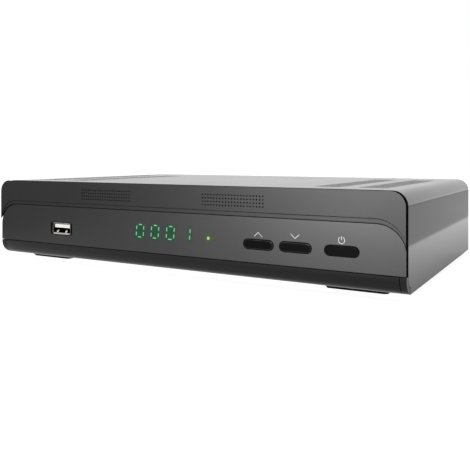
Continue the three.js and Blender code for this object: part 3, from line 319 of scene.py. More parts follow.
@dataclass(frozen=True)
class Finish:
    """A surface with its colour, gloss, grain and the small unevenness of the real one."""

    name: str
    slot: str
    color: Color
    roughness: float
    metallic: float = 0.0
    specular: float = 0.5
    grain: Grain = Grain.MOULDED
    grain_size: float = 0.0006
    grain_depth: float = 0.00001
    mottle: float = 0.06
    mottle_size: float = 0.03
    gloss_spread: float = 0.06
    glow: Color | None = None
    glow_strength: float = 0.0
    halos: tuple[Halo, ...] = ()

    def material(self) -> bpy.types.Material:
        """The finish's material, made on first use.

        Returns:
            The material.
        """
        known = bpy.data.materials.get(self.name + "_finish")
        return known if known else self.build()

    def coordinates(self, canvas: Canvas) -> Wire:
        """Places on the piece, drawn out along the grain where the surface is brushed.

        Args:
            canvas: The material's canvas.

        Returns:
            The places.
        """
        place = canvas.wire("ShaderNodeTexCoord", output="Object")
        if self.grain is not Grain.BRUSHED:
            return place
        drawn_out = {0: place, 1: BRUSHED_STRETCH}
        return canvas.wire("ShaderNodeVectorMath", {"operation": "MULTIPLY"}, drawn_out)

    def relief(self, canvas: Canvas, place: Wire) -> Wire:
        """The height of the grain.

        Args:
            canvas: The material's canvas.
            place: Places on the piece.

        Returns:
            From 0 in its hollows to 1 on its tops.
        """
        pattern = {"Vector": place, "Scale": 1 / self.grain_size}
        if self.grain is Grain.SPANGLED:
            return canvas.wire("ShaderNodeTexVoronoi", {"feature": "F1"}, pattern, "Color")
        if self.grain is Grain.PRINTED_BOARD:
            tracks = {**pattern, "Mortar Size": TRACK_GAP, "Bias": TRACK_BIAS}
            return canvas.wire("ShaderNodeTexBrick", {}, tracks, "Fac")
        detail = FINE_DETAIL if self.grain is Grain.POWDER else PLAIN_DETAIL
        return canvas.wire("ShaderNodeTexNoise", {}, {**pattern, "Detail": detail}, "Fac")

    def with_halos(self, canvas: Canvas, surface: Wire) -> Wire:
        """Lets its halos show through a surface.

        Args:
            canvas: The material's canvas.
            surface: The shader without them.

        Returns:
            The shader with them.
        """
        if not self.halos:
            return surface
        across, _, up = canvas.object_place()
        for halo in self.halos:
            glow = canvas.wire("ShaderNodeEmission", {}, {"Color": (*halo.color, 1.0), "Strength": 1.0})
            mix = {"Fac": halo.strength(across, up), 1: surface, 2: glow}
            surface = canvas.wire("ShaderNodeMixShader", {}, mix)
        return surface

    def build(self) -> bpy.types.Material:
        """Builds the material's nodes.

        Returns:
            The material.
        """
        made = bpy.data.materials.new(self.name + "_finish")
        made.use_nodes = True
        made.node_tree.nodes.clear()
        canvas = Canvas(made.node_tree)
        place = self.coordinates(canvas)
        relief = self.relief(canvas, place)
        mottling = {"Vector": place, "Scale": 1 / self.mottle_size, "Detail": MOTTLE_DETAIL}
        broad = canvas.wire("ShaderNodeTexNoise", {}, mottling, "Fac")
        shade = (relief - 0.5) * GRAIN_SHARE + broad
        lighter = tuple(min(1.0, part * (1 + self.mottle)) for part in self.color)
        darker = tuple(part * (1 - self.mottle) for part in self.color)
        grain = {"Height": relief, "Distance": self.grain_depth, "Strength": 1.0}
        bump = canvas.wire("ShaderNodeBump", {}, grain, "Normal")
        inputs = {
            "Base Color": canvas.mix(shade, darker, lighter),
            "Roughness": self.roughness + (broad - 0.5) * self.gloss_spread,
            "Metallic": self.metallic,
            "Specular IOR Level": self.specular,
            "Normal": bump,
        }
        if self.glow:
            dim = tuple(part * (1 - self.mottle) for part in self.glow)
            inputs["Emission Color"] = canvas.mix(broad, dim, self.glow)
            inputs["Emission Strength"] = self.glow_strength
        surface = canvas.wire("ShaderNodeBsdfPrincipled", {}, inputs)
        canvas.node("ShaderNodeOutputMaterial", {}, {"Surface": self.with_halos(canvas, surface)})
        return made


FRONT_PLASTIC = Finish("front_plastic", "front_plastic", (0.0015, 0.0015, 0.0016), 0.38, specular=0.26)
LENS_PLASTIC = Finish("lens_plastic", "lens_plastic", (0.0015, 0.0015, 0.0016), 0.33, specular=0.36)
CHIN_PLASTIC = Finish("chin_plastic", "front_plastic", (0.003, 0.003, 0.0032), 0.2, specular=0.2)
KEY_PLASTIC = Finish("key_plastic", "key_plastic", (0.001, 0.001, 0.001), 0.25, specular=0.03)
KEY_ROUNDING = Finish("key_rounding", "key_plastic", (0.001, 0.001, 0.001), 0.25, specular=0.4)
COVER_PAINT = Finish(
    "cover_paint",
    "cover_paint",
    (0.055, 0.055, 0.058),
    0.2,
    grain=Grain.POWDER,
    grain_size=0.0009,
    grain_depth=0.000004,
)
COVER_SIDE = replace(
    COVER_PAINT, name="cover_side", roughness=0.06, gloss_spread=0.02, grain_depth=0.000001
)
# Painted shade: a near-black finish drawn on gaps, rims, holes, slots, recesses and undersides where
# shade falls
PAINTED_SHADE = Finish("deep_black", "black_plastic", (0.003, 0.003, 0.003), 0.7, specular=0.15)
BLACK_PLASTIC = Finish("black_plastic", "black_plastic", (0.012, 0.012, 0.013), 0.45)
ROCKER_PLASTIC = Finish("rocker_plastic", "rocker_plastic", (0.012, 0.012, 0.013), 0.3)
WHITE_PLASTIC = Finish("white_plastic", "white_plastic", (0.8, 0.79, 0.75), 0.42, mottle=0.04)
PRINT_WHITE = Finish("print_white", "white_plastic", (0.62, 0.62, 0.62), 0.5, mottle=0.05)
TONGUE_CREAM = Finish("tongue_cream", "white_plastic", (0.6, 0.59, 0.54), 0.42, mottle=0.04)
# Shaded copies of the bright metal: painted shade for the socket's shell and for the lip over its mouth,
# which stand in the socket's shade
SHADED_SHELL_METAL = Finish("shell_metal", "bright_metal", (0.07, 0.068, 0.063), 0.35, metallic=1.0)
SHADED_LIP_METAL = Finish("lip_metal", "bright_metal", (0.3, 0.29, 0.27), 0.35, metallic=1.0)
ORANGE_PLASTIC = Finish("orange_plastic", "orange_plastic", (0.65, 0.17, 0.02), 0.42)
FOOT_RUBBER = Finish(
    "foot_rubber", "foot_rubber", (0.003, 0.003, 0.003), 0.85, specular=0.03, grain_depth=0.00003
)
BRIGHT_METAL = Finish(
    "bright_metal",
    "bright_metal",
    (0.72, 0.71, 0.69),
    0.24,
    metallic=1.0,
    grain=Grain.BRUSHED,
    grain_depth=0.000002,
)
CONTACT_METAL = Finish("contact_metal", "bright_metal", (0.83, 0.66, 0.34), 0.28, metallic=1.0)
SCREW_ZINC = Finish(
    "screw_zinc",
    "screw_zinc",
    (0.5, 0.5, 0.5),
    0.32,
    metallic=1.0,
    grain=Grain.BRUSHED,
    grain_depth=0.000003,
)
CHASSIS_ZINC = Finish(
    "chassis_zinc",
    "chassis_zinc",
    (0.55, 0.56, 0.57),
    0.38,
    metallic=0.9,
    grain=Grain.SPANGLED,
    grain_size=0.006,
    grain_depth=0.000002,
    mottle=0.12,
)
BOARD_GREEN = Finish(
    "board_green",
    "board_green",
    (0.02, 0.1, 0.05),
    0.4,
    grain=Grain.PRINTED_BOARD,
    grain_size=0.012,
    grain_depth=0.00003,
    mottle=0.25,
)
BOARD_TAN = Finish(
    "board_tan",
    "board_tan",
    (0.35, 0.25, 0.1),
    0.5,
    grain=Grain.PRINTED_BOARD,
    grain_size=0.02,
    grain_depth=0.00003,
    mottle=0.2,
)
CLEAR_SHEET = Finish("clear_sheet", "clear_sheet", (0.7, 0.66, 0.55), 0.3)
WINDING_YELLOW = Finish("winding_yellow", "winding_yellow", (0.65, 0.47, 0.05), 0.45)
SLEEVE_BLACK = Finish("sleeve_black", "sleeve_black", (0.02, 0.02, 0.03), 0.35)
RIBBON_GREY = Finish(
    "ribbon_grey", "ribbon_grey", (0.45, 0.46, 0.48), 0.5, grain=Grain.BRUSHED, grain_depth=0.00004
)
ALUMINIUM = Finish(
    "aluminium",
    "aluminium",
    (0.6, 0.61, 0.62),
    0.4,
    metallic=1.0,
    grain=Grain.BRUSHED,
    grain_depth=0.00001,
)
DIGIT_GREEN = Finish(
    "digit_green",
    "white_plastic",
    (0.02, 0.06, 0.04),
    0.4,
    mottle=0.1,
    mottle_size=0.004,
    glow=(0.15, 0.42, 0.25),
    glow_strength=1.0,
)
LIGHT_GREEN = Finish(
    "light_green",
    "white_plastic",
    (0.03, 0.05, 0.01),
    0.4,
    mottle=0.1,
    mottle_size=0.002,
    glow=(0.3, 0.5, 0.19),
    glow_strength=1.0,
)


# Meshes


def keep(piece: bpy.types.Object, body: Body, slot: str, *nodes: str) -> None:
    """Puts a finished piece on its body and hides the CAD nodes that it stands for.

    Args:
        piece: The piece, in its place.
        body: The body that it rides on.
        slot: Not used.
        nodes: The CAD nodes that it replaces.
    """
    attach(piece, body.value)
    if nodes:
        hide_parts(*nodes)
    log.info("%s: %d faces", piece.name, len(piece.data.polygons))


def show(name: str, mesh: bpy.types.Mesh, finish: Finish) -> bpy.types.Object:
    """Puts a mesh in the scene.

    Args:
        name: The object's name.
        mesh: Its mesh, with its place in its points.
        finish: The finish of its first material slot.

    Returns:
        The object.
    """
    piece = bpy.data.objects.new(name, mesh)
    bpy.context.scene.collection.objects.link(piece)
    if not mesh.materials:
        mesh.materials.append(finish.material())
    return piece


def add_finishes(piece: bpy.types.Object, *finishes: Finish) -> list[int]:
    """Gives a piece more finishes.

    Args:
        piece: The piece.
        finishes: Its further finishes.

    Returns:
        The number of the material slot of each.
    """
    materials = piece.data.materials
    for finish in finishes:
        materials.append(finish.material())
    return list(range(len(materials) - len(finishes), len(materials)))


def from_shape(
    name: str, shape: bmesh.types.BMesh, finish: Finish, smooth: bool = True
) -> bpy.types.Object:
    """Turns worked shape data into an object with outward faces.

    Args:
        name: The object's name.
        shape: The shape, which is freed.
        finish: Its finish.
        smooth: Whether its round faces are shaded smooth.

    Returns:
        The object.
    """
    bmesh.ops.recalc_face_normals(shape, faces=shape.faces)
    mesh = bpy.data.meshes.new(name)
    shape.to_mesh(mesh)
    shape.free()
    if smooth:
        mesh.shade_smooth()
        mesh.set_sharp_from_angle(angle=SMOOTH_ANGLE)
    return show(name, mesh, finish)


def merged_copy(node: str, name: str, finish: Finish) -> bpy.types.Object:
    """Copies a CAD node with its loose triangles joined and its flats made whole.

    Args:
        node: The CAD node.
        name: The copy's name.
        finish: Its finish.

    Returns:
        The copy.
    """
    shape = bmesh.new()
    shape.from_mesh(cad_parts[node].data)
    bmesh.ops.remove_doubles(shape, verts=shape.verts, dist=MERGE_DISTANCE)
    bmesh.ops.dissolve_limit(shape, angle_limit=FLAT_ANGLE, verts=shape.verts, edges=shape.edges)
    return from_shape(name, shape, finish)


def plain(piece: bpy.types.Object) -> bpy.types.Object:
    """Bakes a piece's modifiers into its mesh and removes them.

    Args:
        piece: The piece.

    Returns:
        The same piece with a plain mesh.
    """
    graph = bpy.context.evaluated_depsgraph_get()
    mesh = bpy.data.meshes.new_from_object(piece.evaluated_get(graph), depsgraph=graph)
    piece.modifiers.clear()
    piece.data = mesh
    return piece


def breadth(face: bmesh.types.BMFace) -> float:
    """How broad a face is across its narrow way.

    Args:
        face: The face.

    Returns:
        Its breadth, exact for a long strip.
    """
    return 2 * face.calc_area() / face.calc_perimeter()


def soften(
    piece: bpy.types.Object,
    width: float,
    segments: int = 2,
    room: float = ROOM_SHARE,
    finish: Finish | None = None,
) -> None:
    """Rounds the sharp edges of a piece that have room for it on both sides.

    Args:
        piece: The piece.
        width: The width of the rounding.
        segments: Its steps.
        room: The least breadth of the faces at an edge, in widths of the rounding.
        finish: The rounding's own finish, if it has one.
    """
    bevel_slot = add_finishes(piece, finish)[0] if finish else -1
    shape = bmesh.new()
    shape.from_mesh(piece.data)
    weight = shape.edges.layers.float.new("bevel_weight_edge")
    for edge in shape.edges:
        sharp = edge.is_manifold and edge.calc_face_angle() > SMOOTH_ANGLE
        if sharp and all(breadth(face) > room * width for face in edge.link_faces):
            edge[weight] = 1.0
    shape.to_mesh(piece.data)
    shape.free()
    bevel = piece.modifiers.new("edges", "BEVEL")
    bevel.width = width
    bevel.segments = segments
    bevel.limit_method = "WEIGHT"
    bevel.material = bevel_slot
    shading = piece.modifiers.new("shading", "WEIGHTED_NORMAL")
    shading.keep_sharp = True
    shading.weight = BROAD_FACE_WEIGHT
    plain(piece)


def run_nodes(
    piece: bpy.types.Object, tree: bpy.types.NodeTree, values: dict[str, object]
) -> bpy.types.Object:
    """Works a Geometry Nodes tree on a piece and keeps its result as a plain mesh.

    Args:
        piece: The piece.
        tree: The tree, with named inputs.
        values: The inputs by name.

    Returns:
        The piece with its new mesh.
    """
    worked = piece.modifiers.new(tree.name, "NODES")
    worked.node_group = tree
    sockets = {item.name: item.identifier for item in tree.interface.items_tree if item.in_out == "INPUT"}
    for name, value in values.items():
        worked[sockets[name]] = value
    return plain(piece)


def cut(piece: bpy.types.Object, tool: bpy.types.Object) -> None:
    """Takes one piece's shape out of another and removes the first.

    Args:
        piece: The piece to cut.
        tool: The shape to take out, whose material lines the holes.
    """
    worked = piece.modifiers.new("cut", "BOOLEAN")
    worked.operation = "DIFFERENCE"
    worked.solver = "MANIFOLD"
    worked.object = tool
    plain(piece)
    bpy.data.objects.remove(tool)


def empty_piece(name: str) -> bpy.types.Object:
    """Makes an object with no faces, for a tree that makes its own geometry.

    Args:
        name: The object's name.

    Returns:
        The object.
    """
    piece = bpy.data.objects.new(name, bpy.data.meshes.new(name))
    bpy.context.scene.collection.objects.link(piece)
    return piece


def bridge(shape: bmesh.types.BMesh, near: list[Place], far: list[Place]) -> None:
    """Adds a closed body between two outlines.

    Args:
        shape: The shape to add to.
        near: The points of one outline in order.
        far: The points of the other, one for each of the first.
    """
    rim, end = ([shape.verts.new(point) for point in outline] for outline in (near, far))
    shape.faces.new(rim)
    shape.faces.new(reversed(end))
    count = len(rim)
    for i in range(count):
        j = (i + 1) % count
        shape.faces.new((rim[i], rim[j], end[j], end[i]))


def clad(node: str, name: str, finish: Finish, edge: float) -> None:
    """Makes a piece of the case from a CAD node, with its edges rounded.

    Args:
        node: The node that it replaces.
        name: The piece's name.
        finish: Its finish.
        edge: The width of its rounding.
    """
    piece = merged_copy(node, name, finish)
    soften(piece, edge)
    keep(piece, Body.CASE, finish.slot, node)


def apply_thin(name: str, shape: bmesh.types.BMesh, finish: Finish, body: Body = Body.CASE) -> None:
    """Makes a piece of thin flat bodies, such as a print.

    Args:
        name: The piece's name.
        shape: Its shape, which is freed.
        finish: Its finish.
        body: The body that it rides on.
    """
    keep(from_shape(name, shape, finish, smooth=False), body, finish.slot)


def grow(name: str, tree: bpy.types.NodeTree, values: dict[str, object], finish: Finish) -> None:
    """Makes a piece of the case from a tree alone.

    Args:
        name: The piece's name.
        tree: The tree.
        values: Its inputs by name, without Material.
        finish: The piece's finish.
    """
    piece = run_nodes(empty_piece(name), tree, {**values, "Material": finish.material()})
    keep(piece, Body.CASE, finish.slot)


def prism(shape: bmesh.types.BMesh, outline: list[Point], front: float, back: float) -> None:
    """Adds an outline in x and z that runs from front to back.

    Args:
        shape: The shape to add to.
        outline: Its points in order.
        front: The y of its front face.
        back: The y of its back face.
    """
    bridge(shape, *([(x, y, z) for x, z in outline] for y in (front, back)))


def strip(shape: bmesh.types.BMesh, outline: list[Point], left: float, right: float) -> None:
    """Adds an outline in y and z that runs from left to right.

    Args:
        shape: The shape to add to.
        outline: Its points in order.
        left: The x of its left end.
        right: The x of its right end.
    """
    bridge(shape, *([(x, y, z) for y, z in outline] for x in (left, right)))


def stroke(start: Point, end: Point, width: float) -> list[Point]:
    """The outline of a straight line with a width.

    Args:
        start: Where it starts.
        end: Where it ends.
        width: Its width.

    Returns:
        Four points.
    """
    along = (Vector(end) - Vector(start)).normalized() * (width / 2)
    across = Vector((-along.y, along.x))
    a, b = Vector(start), Vector(end)
    return [tuple(p) for p in (a - across, b - across, b + across, a + across)]


def on_circle(middle: Point, radius: float, steps: int) -> list[Point]:
    """Points round a circle.

    Args:
        middle: Its middle.
        radius: Its radius.
        steps: How many points there are.

    Returns:
        The points in order.
    """
    angles = [2 * math.pi * i / steps for i in range(steps)]
    return [(middle[0] + radius * math.cos(a), middle[1] + radius * math.sin(a)) for a in angles]


# Geometry Nodes


class Trees:
    """The trees that make what repeats."""

    GRID = {
        "Columns": "NodeSocketInt",
        "Rows": "NodeSocketInt",
        "Across": "NodeSocketFloat",
        "Up": "NodeSocketFloat",
        "Place": "NodeSocketVector",
        "Material": "NodeSocketMaterial",
    }

    @staticmethod
    def group(name: str, inputs: dict[str, str]) -> tuple[Canvas, bpy.types.Node, bpy.types.Node]:
        """Starts a tree with a geometry input and output and named inputs.

        Args:
            name: The tree's name.
            inputs: The kind of each input by its name.

        Returns:
            The canvas, the input node and the output node.
        """
        tree = bpy.data.node_groups.new(name, "GeometryNodeTree")
        tree.interface.new_socket(name="Geometry", in_out="INPUT", socket_type="NodeSocketGeometry")
        for label, kind in inputs.items():
            tree.interface.new_socket(name=label, in_out="INPUT", socket_type=kind)
        tree.interface.new_socket(name="Geometry", in_out="OUTPUT", socket_type="NodeSocketGeometry")
        return Canvas(tree), tree.nodes.new("NodeGroupInput"), tree.nodes.new("NodeGroupOutput")

    @staticmethod
    def grid_points(canvas: Canvas, given: bpy.types.Node) -> Wire:
        """Points in a grid that stands in x and z round a place.

        Args:
            canvas: The tree's canvas.
            given: Its input node, with Columns, Rows, Across, Up and Place.

        Returns:
            The grid.
        """
        columns = Wire(canvas.tree, given.outputs["Columns"])
        rows = Wire(canvas.tree, given.outputs["Rows"])
        sizes = {
            "Size X": (columns - 1.0) * Wire(canvas.tree, given.outputs["Across"]),
            "Size Y": (rows - 1.0) * Wire(canvas.tree, given.outputs["Up"]),
            "Vertices X": columns,
            "Vertices Y": rows,
        }
        grid = canvas.wire("GeometryNodeMeshGrid", {}, sizes, "Mesh")
        moved = {
            "Geometry": grid,
            "Translation": given.outputs["Place"],
            "Rotation": (math.pi / 2, 0.0, 0.0),
        }
        return canvas.wire("GeometryNodeTransform", {}, moved, "Geometry")

    @staticmethod
    def spread(
        canvas: Canvas, ends: tuple[bpy.types.Node, bpy.types.Node], points: Wire, shape: Wire
    ) -> None:
        """Ends a tree by putting a shape on every point, as plain faces with their finish.

        Args:
            canvas: The tree's canvas.
            ends: Its input node, with Material, and its output node.
            points: The points.
            shape: The shape.
        """
        given, out = ends
        copies = canvas.wire("GeometryNodeInstanceOnPoints", {}, {"Points": points, "Instance": shape})
        real = canvas.wire("GeometryNodeRealizeInstances", {}, {"Geometry": copies})
        dressed = {"Geometry": real, "Material": given.outputs["Material"]}
        canvas.tree.links.new(canvas.wire("GeometryNodeSetMaterial", {}, dressed).socket, out.inputs[0])

    @classmethod
    def perforations(cls) -> bpy.types.NodeTree:
        """Round pins in a grid, to cut holes with.

        Returns:
            The tree.
        """
        inputs = {**cls.GRID, "Radius": "NodeSocketFloat", "Depth": "NodeSocketFloat"}
        canvas, given, out = cls.group("perforations", inputs)
        radius, depth = given.outputs["Radius"], given.outputs["Depth"]
        sizes = {"Vertices": PIN_SIDES, "Radius": radius, "Depth": depth}
        pin = canvas.wire("GeometryNodeMeshCylinder", {}, sizes, "Mesh")
        lying = {"Geometry": pin, "Rotation": (math.pi / 2, 0.0, 0.0)}
        pin = canvas.wire("GeometryNodeTransform", {}, lying, "Geometry")
        cls.spread(canvas, (given, out), cls.grid_points(canvas, given), pin)
        return canvas.tree

    @classmethod
    def bars(cls) -> bpy.types.NodeTree:
        """Small blocks in a grid, such as contacts or slots.

        Returns:
            The tree.
        """
        canvas, given, out = cls.group("bars", {**cls.GRID, "Size": "NodeSocketVector"})
        bar = canvas.wire("GeometryNodeMeshCube", {}, {"Size": given.outputs["Size"]}, "Mesh")
        cls.spread(canvas, (given, out), cls.grid_points(canvas, given), bar)
        return canvas.tree

    @classmethod
    def rings(cls) -> bpy.types.NodeTree:
        """Round ridges one behind another along y, such as a thread.

        Returns:
            The tree.
        """
        canvas, given, out = cls.group(
            "rings",
            {
                "Count": "NodeSocketInt",
                "Pitch": "NodeSocketFloat",
                "Radius": "NodeSocketFloat",
                "Rise": "NodeSocketFloat",
                "Place": "NodeSocketVector",
                "Material": "NodeSocketMaterial",
            },
        )
        names = ("Pitch", "Radius", "Rise")
        pitch, radius, rise = (Wire(canvas.tree, given.outputs[name]) for name in names)
        sizes = {
            "Vertices": RIDGE_SIDES,
            "Radius Top": radius,
            "Radius Bottom": radius + rise,
            "Depth": pitch / 2.0,
        }
        ridge = canvas.wire("GeometryNodeMeshCone", {}, sizes, "Mesh")
        lying = {"Geometry": ridge, "Rotation": (-math.pi / 2, 0.0, 0.0)}
        ridge = canvas.wire("GeometryNodeTransform", {}, lying, "Geometry")
        row = {
            "Count": given.outputs["Count"],
            "Start Location": given.outputs["Place"],
            "Offset": canvas.wire("ShaderNodeCombineXYZ", {}, {"Y": pitch}),
        }
        line = canvas.wire("GeometryNodeMeshLine", {"mode": "OFFSET"}, row, "Mesh")
        cls.spread(canvas, (given, out), line, ridge)
        return canvas.tree


# The object


@dataclass
class FrontMoulding:
    """The hooded front with its dot fields."""

    edge: float = 0.0002
    groove_floor: float = 0.0006
    hood_depth: float = 0.0026
    ledge_drop: float = 0.0008
    underside: float = 0.1
    dot_columns: int = 21
    dot_rows: int = 4
    dot_pitch: float = 0.001635
    dot_radius: float = 0.00041
    dot_depth: float = 0.0006
    dots_middle: float = 0.03888
    dots_drop: float = 0.00655

    def build(self) -> None:
        """Makes the moulding and its dots."""
        hood = merged_copy("front_bezel", "front_hood", FRONT_PLASTIC)
        black = self.dress(hood)
        soften(hood, self.edge)
        self.shade_brow(hood, black)
        low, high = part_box("front_bezel")
        tree = Trees.perforations()
        for side in (-1, 1):
            values = {
                "Columns": self.dot_columns,
                "Rows": self.dot_rows,
                "Across": self.dot_pitch,
                "Up": self.dot_pitch,
                "Radius": self.dot_radius,
                "Depth": 2 * self.dot_depth,
                "Place": (side * self.dots_middle, low.y, high.z - self.dots_drop),
                # The pins line the holes in the dark finish: painted shade on their walls and floors
                "Material": PAINTED_SHADE.material(),
            }
            cut(hood, run_nodes(empty_piece("hole_pins"), tree, values))
        keep(hood, Body.CASE, FRONT_PLASTIC.slot, "front_bezel")

    def dress(self, hood: bpy.types.Object) -> int:
        """Gives the chin its own gloss, and paints shade in the dark finish on the ledge over the chin,
        the neck behind the front and the groove under the brow.

        Args:
            hood: The moulding, before its edges are rounded.

        Returns:
            The number of the painted shade's material slot.
        """
        chin, black = add_finishes(hood, CHIN_PLASTIC, PAINTED_SHADE)
        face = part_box("front_bezel")[0].y
        chin_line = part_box("fascia_lens")[0].z
        for polygon in hood.data.polygons:
            middle, normal = polygon.center, polygon.normal
            # Painted shade: the ledge over the chin, the neck in the gap behind the front and the groove
            # under the brow are drawn dark
            ledge = normal.z > MOSTLY and middle.z > chin_line - self.ledge_drop
            neck = middle.y > face + self.hood_depth
            groove = middle.y > face + self.groove_floor and normal.y < 0
            if middle.z < chin_line:
                polygon.material_index = black if ledge else chin
            elif neck or groove:
                polygon.material_index = black
        return black

    def shade_brow(self, hood: bpy.types.Object, black: int) -> None:
        """Carries the groove's painted shade onto the undersides and roundings of the brow's two steps,
        drawn in the dark finish.

        Args:
            hood: The moulding, with its edges rounded and before its dots are cut.
            black: The number of the painted shade's material slot.
        """
        chin_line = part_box("fascia_lens")[0].z
        for polygon in hood.data.polygons:
            # Painted shade on every face above the chin line that turns downward
            if polygon.normal.z < -self.underside and polygon.center.z > chin_line:
                polygon.material_index = black


@dataclass
class Keys:
    """The three pill keys and the marks printed above them."""

    edge: float = 0.0009
    edge_steps: int = 4
    edge_room: float = 0.05
    print_height: float = 0.00004
    line: float = 0.00024
    chevron_half: float = 0.00205
    chevron_rise: float = 0.0019
    mark_gap: float = 0.0015
    down_lift: float = 0.0003
    power_radius: float = 0.00142
    power_gap: float = 0.9
    power_bar: float = 0.0017
    power_proud: float = 0.0003

    def build(self) -> None:
        """Makes the keys and their marks."""
        for word, body in (("up", Body.UP_KEY), ("down", Body.DOWN_KEY), ("power", Body.POWER_KEY)):
            node = "key_" + word
            cap = merged_copy(node, node + "_cap", KEY_PLASTIC)
            soften(cap, self.edge, self.edge_steps, self.edge_room, KEY_ROUNDING)
            keep(cap, body, KEY_PLASTIC.slot, node)
        shape = bmesh.new()
        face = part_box("fascia_lens")[0].y
        front = face - self.print_height
        for word, sign in (("up", 1), ("down", -1)):
            low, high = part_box("key_" + word)
            x = (low.x + high.x) / 2
            middle = high.z + self.mark_gap + (self.down_lift if sign < 0 else 0.0)
            tip = (x, middle + sign * self.chevron_rise / 2)
            for side in (-1, 1):
                foot = (x + side * self.chevron_half, middle - sign * self.chevron_rise / 2)
                prism(shape, stroke(foot, tip, self.line), front, face)
        low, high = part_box("key_power")
        self.power_mark(shape, ((low.x + high.x) / 2, high.z + self.mark_gap), front, face)
        apply_thin("key_marks", shape, PRINT_WHITE)

    def power_mark(self, shape: bmesh.types.BMesh, middle: Point, front: float, back: float) -> None:
        """Adds the open ring with a bar.

        Args:
            shape: The shape to add to.
            middle: Its middle.
            front: The y of its front.
            back: The y of its back.
        """
        x, z = middle
        start = math.pi / 2 + self.power_gap / 2
        sweep = (2 * math.pi - self.power_gap) / ROUND_STEPS
        inner, outer = self.power_radius - self.line / 2, self.power_radius + self.line / 2
        for i in range(ROUND_STEPS):
            a, b = start + sweep * i, start + sweep * (i + 1)
            corners = ((inner, a), (outer, a), (outer, b), (inner, b))
            prism(shape, [(x + r * math.cos(t), z + r * math.sin(t)) for r, t in corners], front, back)
        top = z + self.power_radius + self.power_proud
        prism(shape, stroke((x, top - self.power_bar), (x, top), self.line), front, back)


@dataclass
class Display:
    """The tinted panel with the lit digits and the round light that are seen through it."""

    panel_edge: float = 0.00045
    edge_room: float = 0.5
    digits: str = "0001"
    pitch: float = 0.0095
    width: float = 0.0045
    height: float = 0.0064
    line: float = 0.00055
    slant: float = 0.08
    first: float = -0.016
    drop: float = 0.02402
    joint: float = 0.0007
    bar_joint: float = 0.0013
    rise: float = 0.00003
    light_radius: float = 0.0008
    light_drop: float = 0.0002
    halo_margin: float = 0.0014
    halo_squareness: float = 4.0
    digit_halo: Color = (0.0, 0.104, 0.0285)
    digit_cover: float = 0.66
    digit_fall: float = 0.35
    light_halo: Color = (0.054, 0.146, 0.004)
    light_halo_radius: float = 0.0028
    tip_share: float = 0.6
    shoulder_share: float = 0.4
    segments: dict[str, str] = field(default_factory=lambda: {"0": "abcdef", "1": "bc"})

    def segment(self, name: str) -> tuple[Point, Point]:
        """The ends of one segment of a digit round its middle.

        Args:
            name: The segment's letter, from a at the top round to f.

        Returns:
            Its two ends.
        """
        x, z, gap = self.width / 2, self.height / 2, self.joint
        half = x - self.bar_joint
        return {
            "a": ((-half, z), (half, z)),
            "b": ((x, z - gap), (x, gap)),
            "c": ((x, -gap), (x, gap - z)),
            "d": ((half, -z), (-half, -z)),
            "e": ((-x, gap - z), (-x, -gap)),
            "f": ((-x, gap), (-x, z - gap)),
        }[name]

    def panel(self) -> None:
        """Makes the tinted panel, which glows softly round what is lit behind it."""
        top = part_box("front_bezel")[1].z
        middle = top - self.drop
        half_width = self.width / 2 + self.halo_margin
        half_height = self.height / 2 + self.halo_margin
        halos = []
        for place, digit in enumerate(self.digits):
            x = self.first + place * self.pitch
            reach = half_width
            if digit == "1":
                x += self.width / 2
                reach = self.halo_margin
            form = (x, middle, reach, half_height, self.halo_squareness)
            halos.append(Halo(self.digit_halo, *form, self.digit_fall, self.digit_cover))
        x, z = self.light_place()
        halos.append(Halo(self.light_halo, x, z, self.light_halo_radius, self.light_halo_radius))
        finish = replace(LENS_PLASTIC, halos=tuple(halos))
        panel = merged_copy("fascia_lens", "front_panel", finish)
        # Painted shade: the panel's faces above its middle that face neither forward nor down, and all
        # its roundings, are drawn dark for the shade in the gaps round it
        black = add_finishes(panel, PAINTED_SHADE)[0]
        for polygon in panel.data.polygons:
            if min(polygon.normal.y, polygon.normal.z) > -MOSTLY and polygon.center.z > middle:
                polygon.material_index = black
        soften(panel, self.panel_edge, room=self.edge_room, finish=PAINTED_SHADE)
        keep(panel, Body.CASE, finish.slot, "fascia_lens")

    def light_place(self) -> Point:
        """Where the round light shows.

        Returns:
            Its x and z.
        """
        low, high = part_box("status_light_pipe")
        return (low.x + high.x) / 2, (low.z + high.z) / 2 - self.light_drop

    def build(self) -> None:
        """Makes the panel, the digits and the light."""
        self.panel()
        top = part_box("front_bezel")[1].z
        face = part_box("fascia_lens")[0].y
        shape = bmesh.new()
        middle = top - self.drop
        for place, digit in enumerate(self.digits):
            x = self.first + place * self.pitch
            for name in self.segments[digit]:
                ends = [(x + px + pz * self.slant, middle + pz) for px, pz in self.segment(name)]
                prism(shape, self.lozenge(*ends), face - self.rise, face)
        apply_thin("display_digits", shape, DIGIT_GREEN)
        shape = bmesh.new()
        disc = on_circle(self.light_place(), self.light_radius, ROUND_STEPS)
        prism(shape, disc, face - self.rise, face)
        apply_thin("status_lamp", shape, LIGHT_GREEN)

    def lozenge(self, start: Point, end: Point) -> list[Point]:
        """The outline of a segment with pointed ends.

        Args:
            start: One end of its middle line.
            end: The other end.

        Returns:
            Six points.
        """
        a, b = Vector(start), Vector(end)
        along = (b - a).normalized() * (self.line / 2)
        across = Vector((-along.y, along.x))
        tip, shoulder = along * self.tip_share, along * self.shoulder_share
        near = (a - tip, a - across + shoulder, b - across - shoulder)
        far = (b + tip, b + across - shoulder, a + across + shoulder)
        return [tuple(point) for point in near + far]


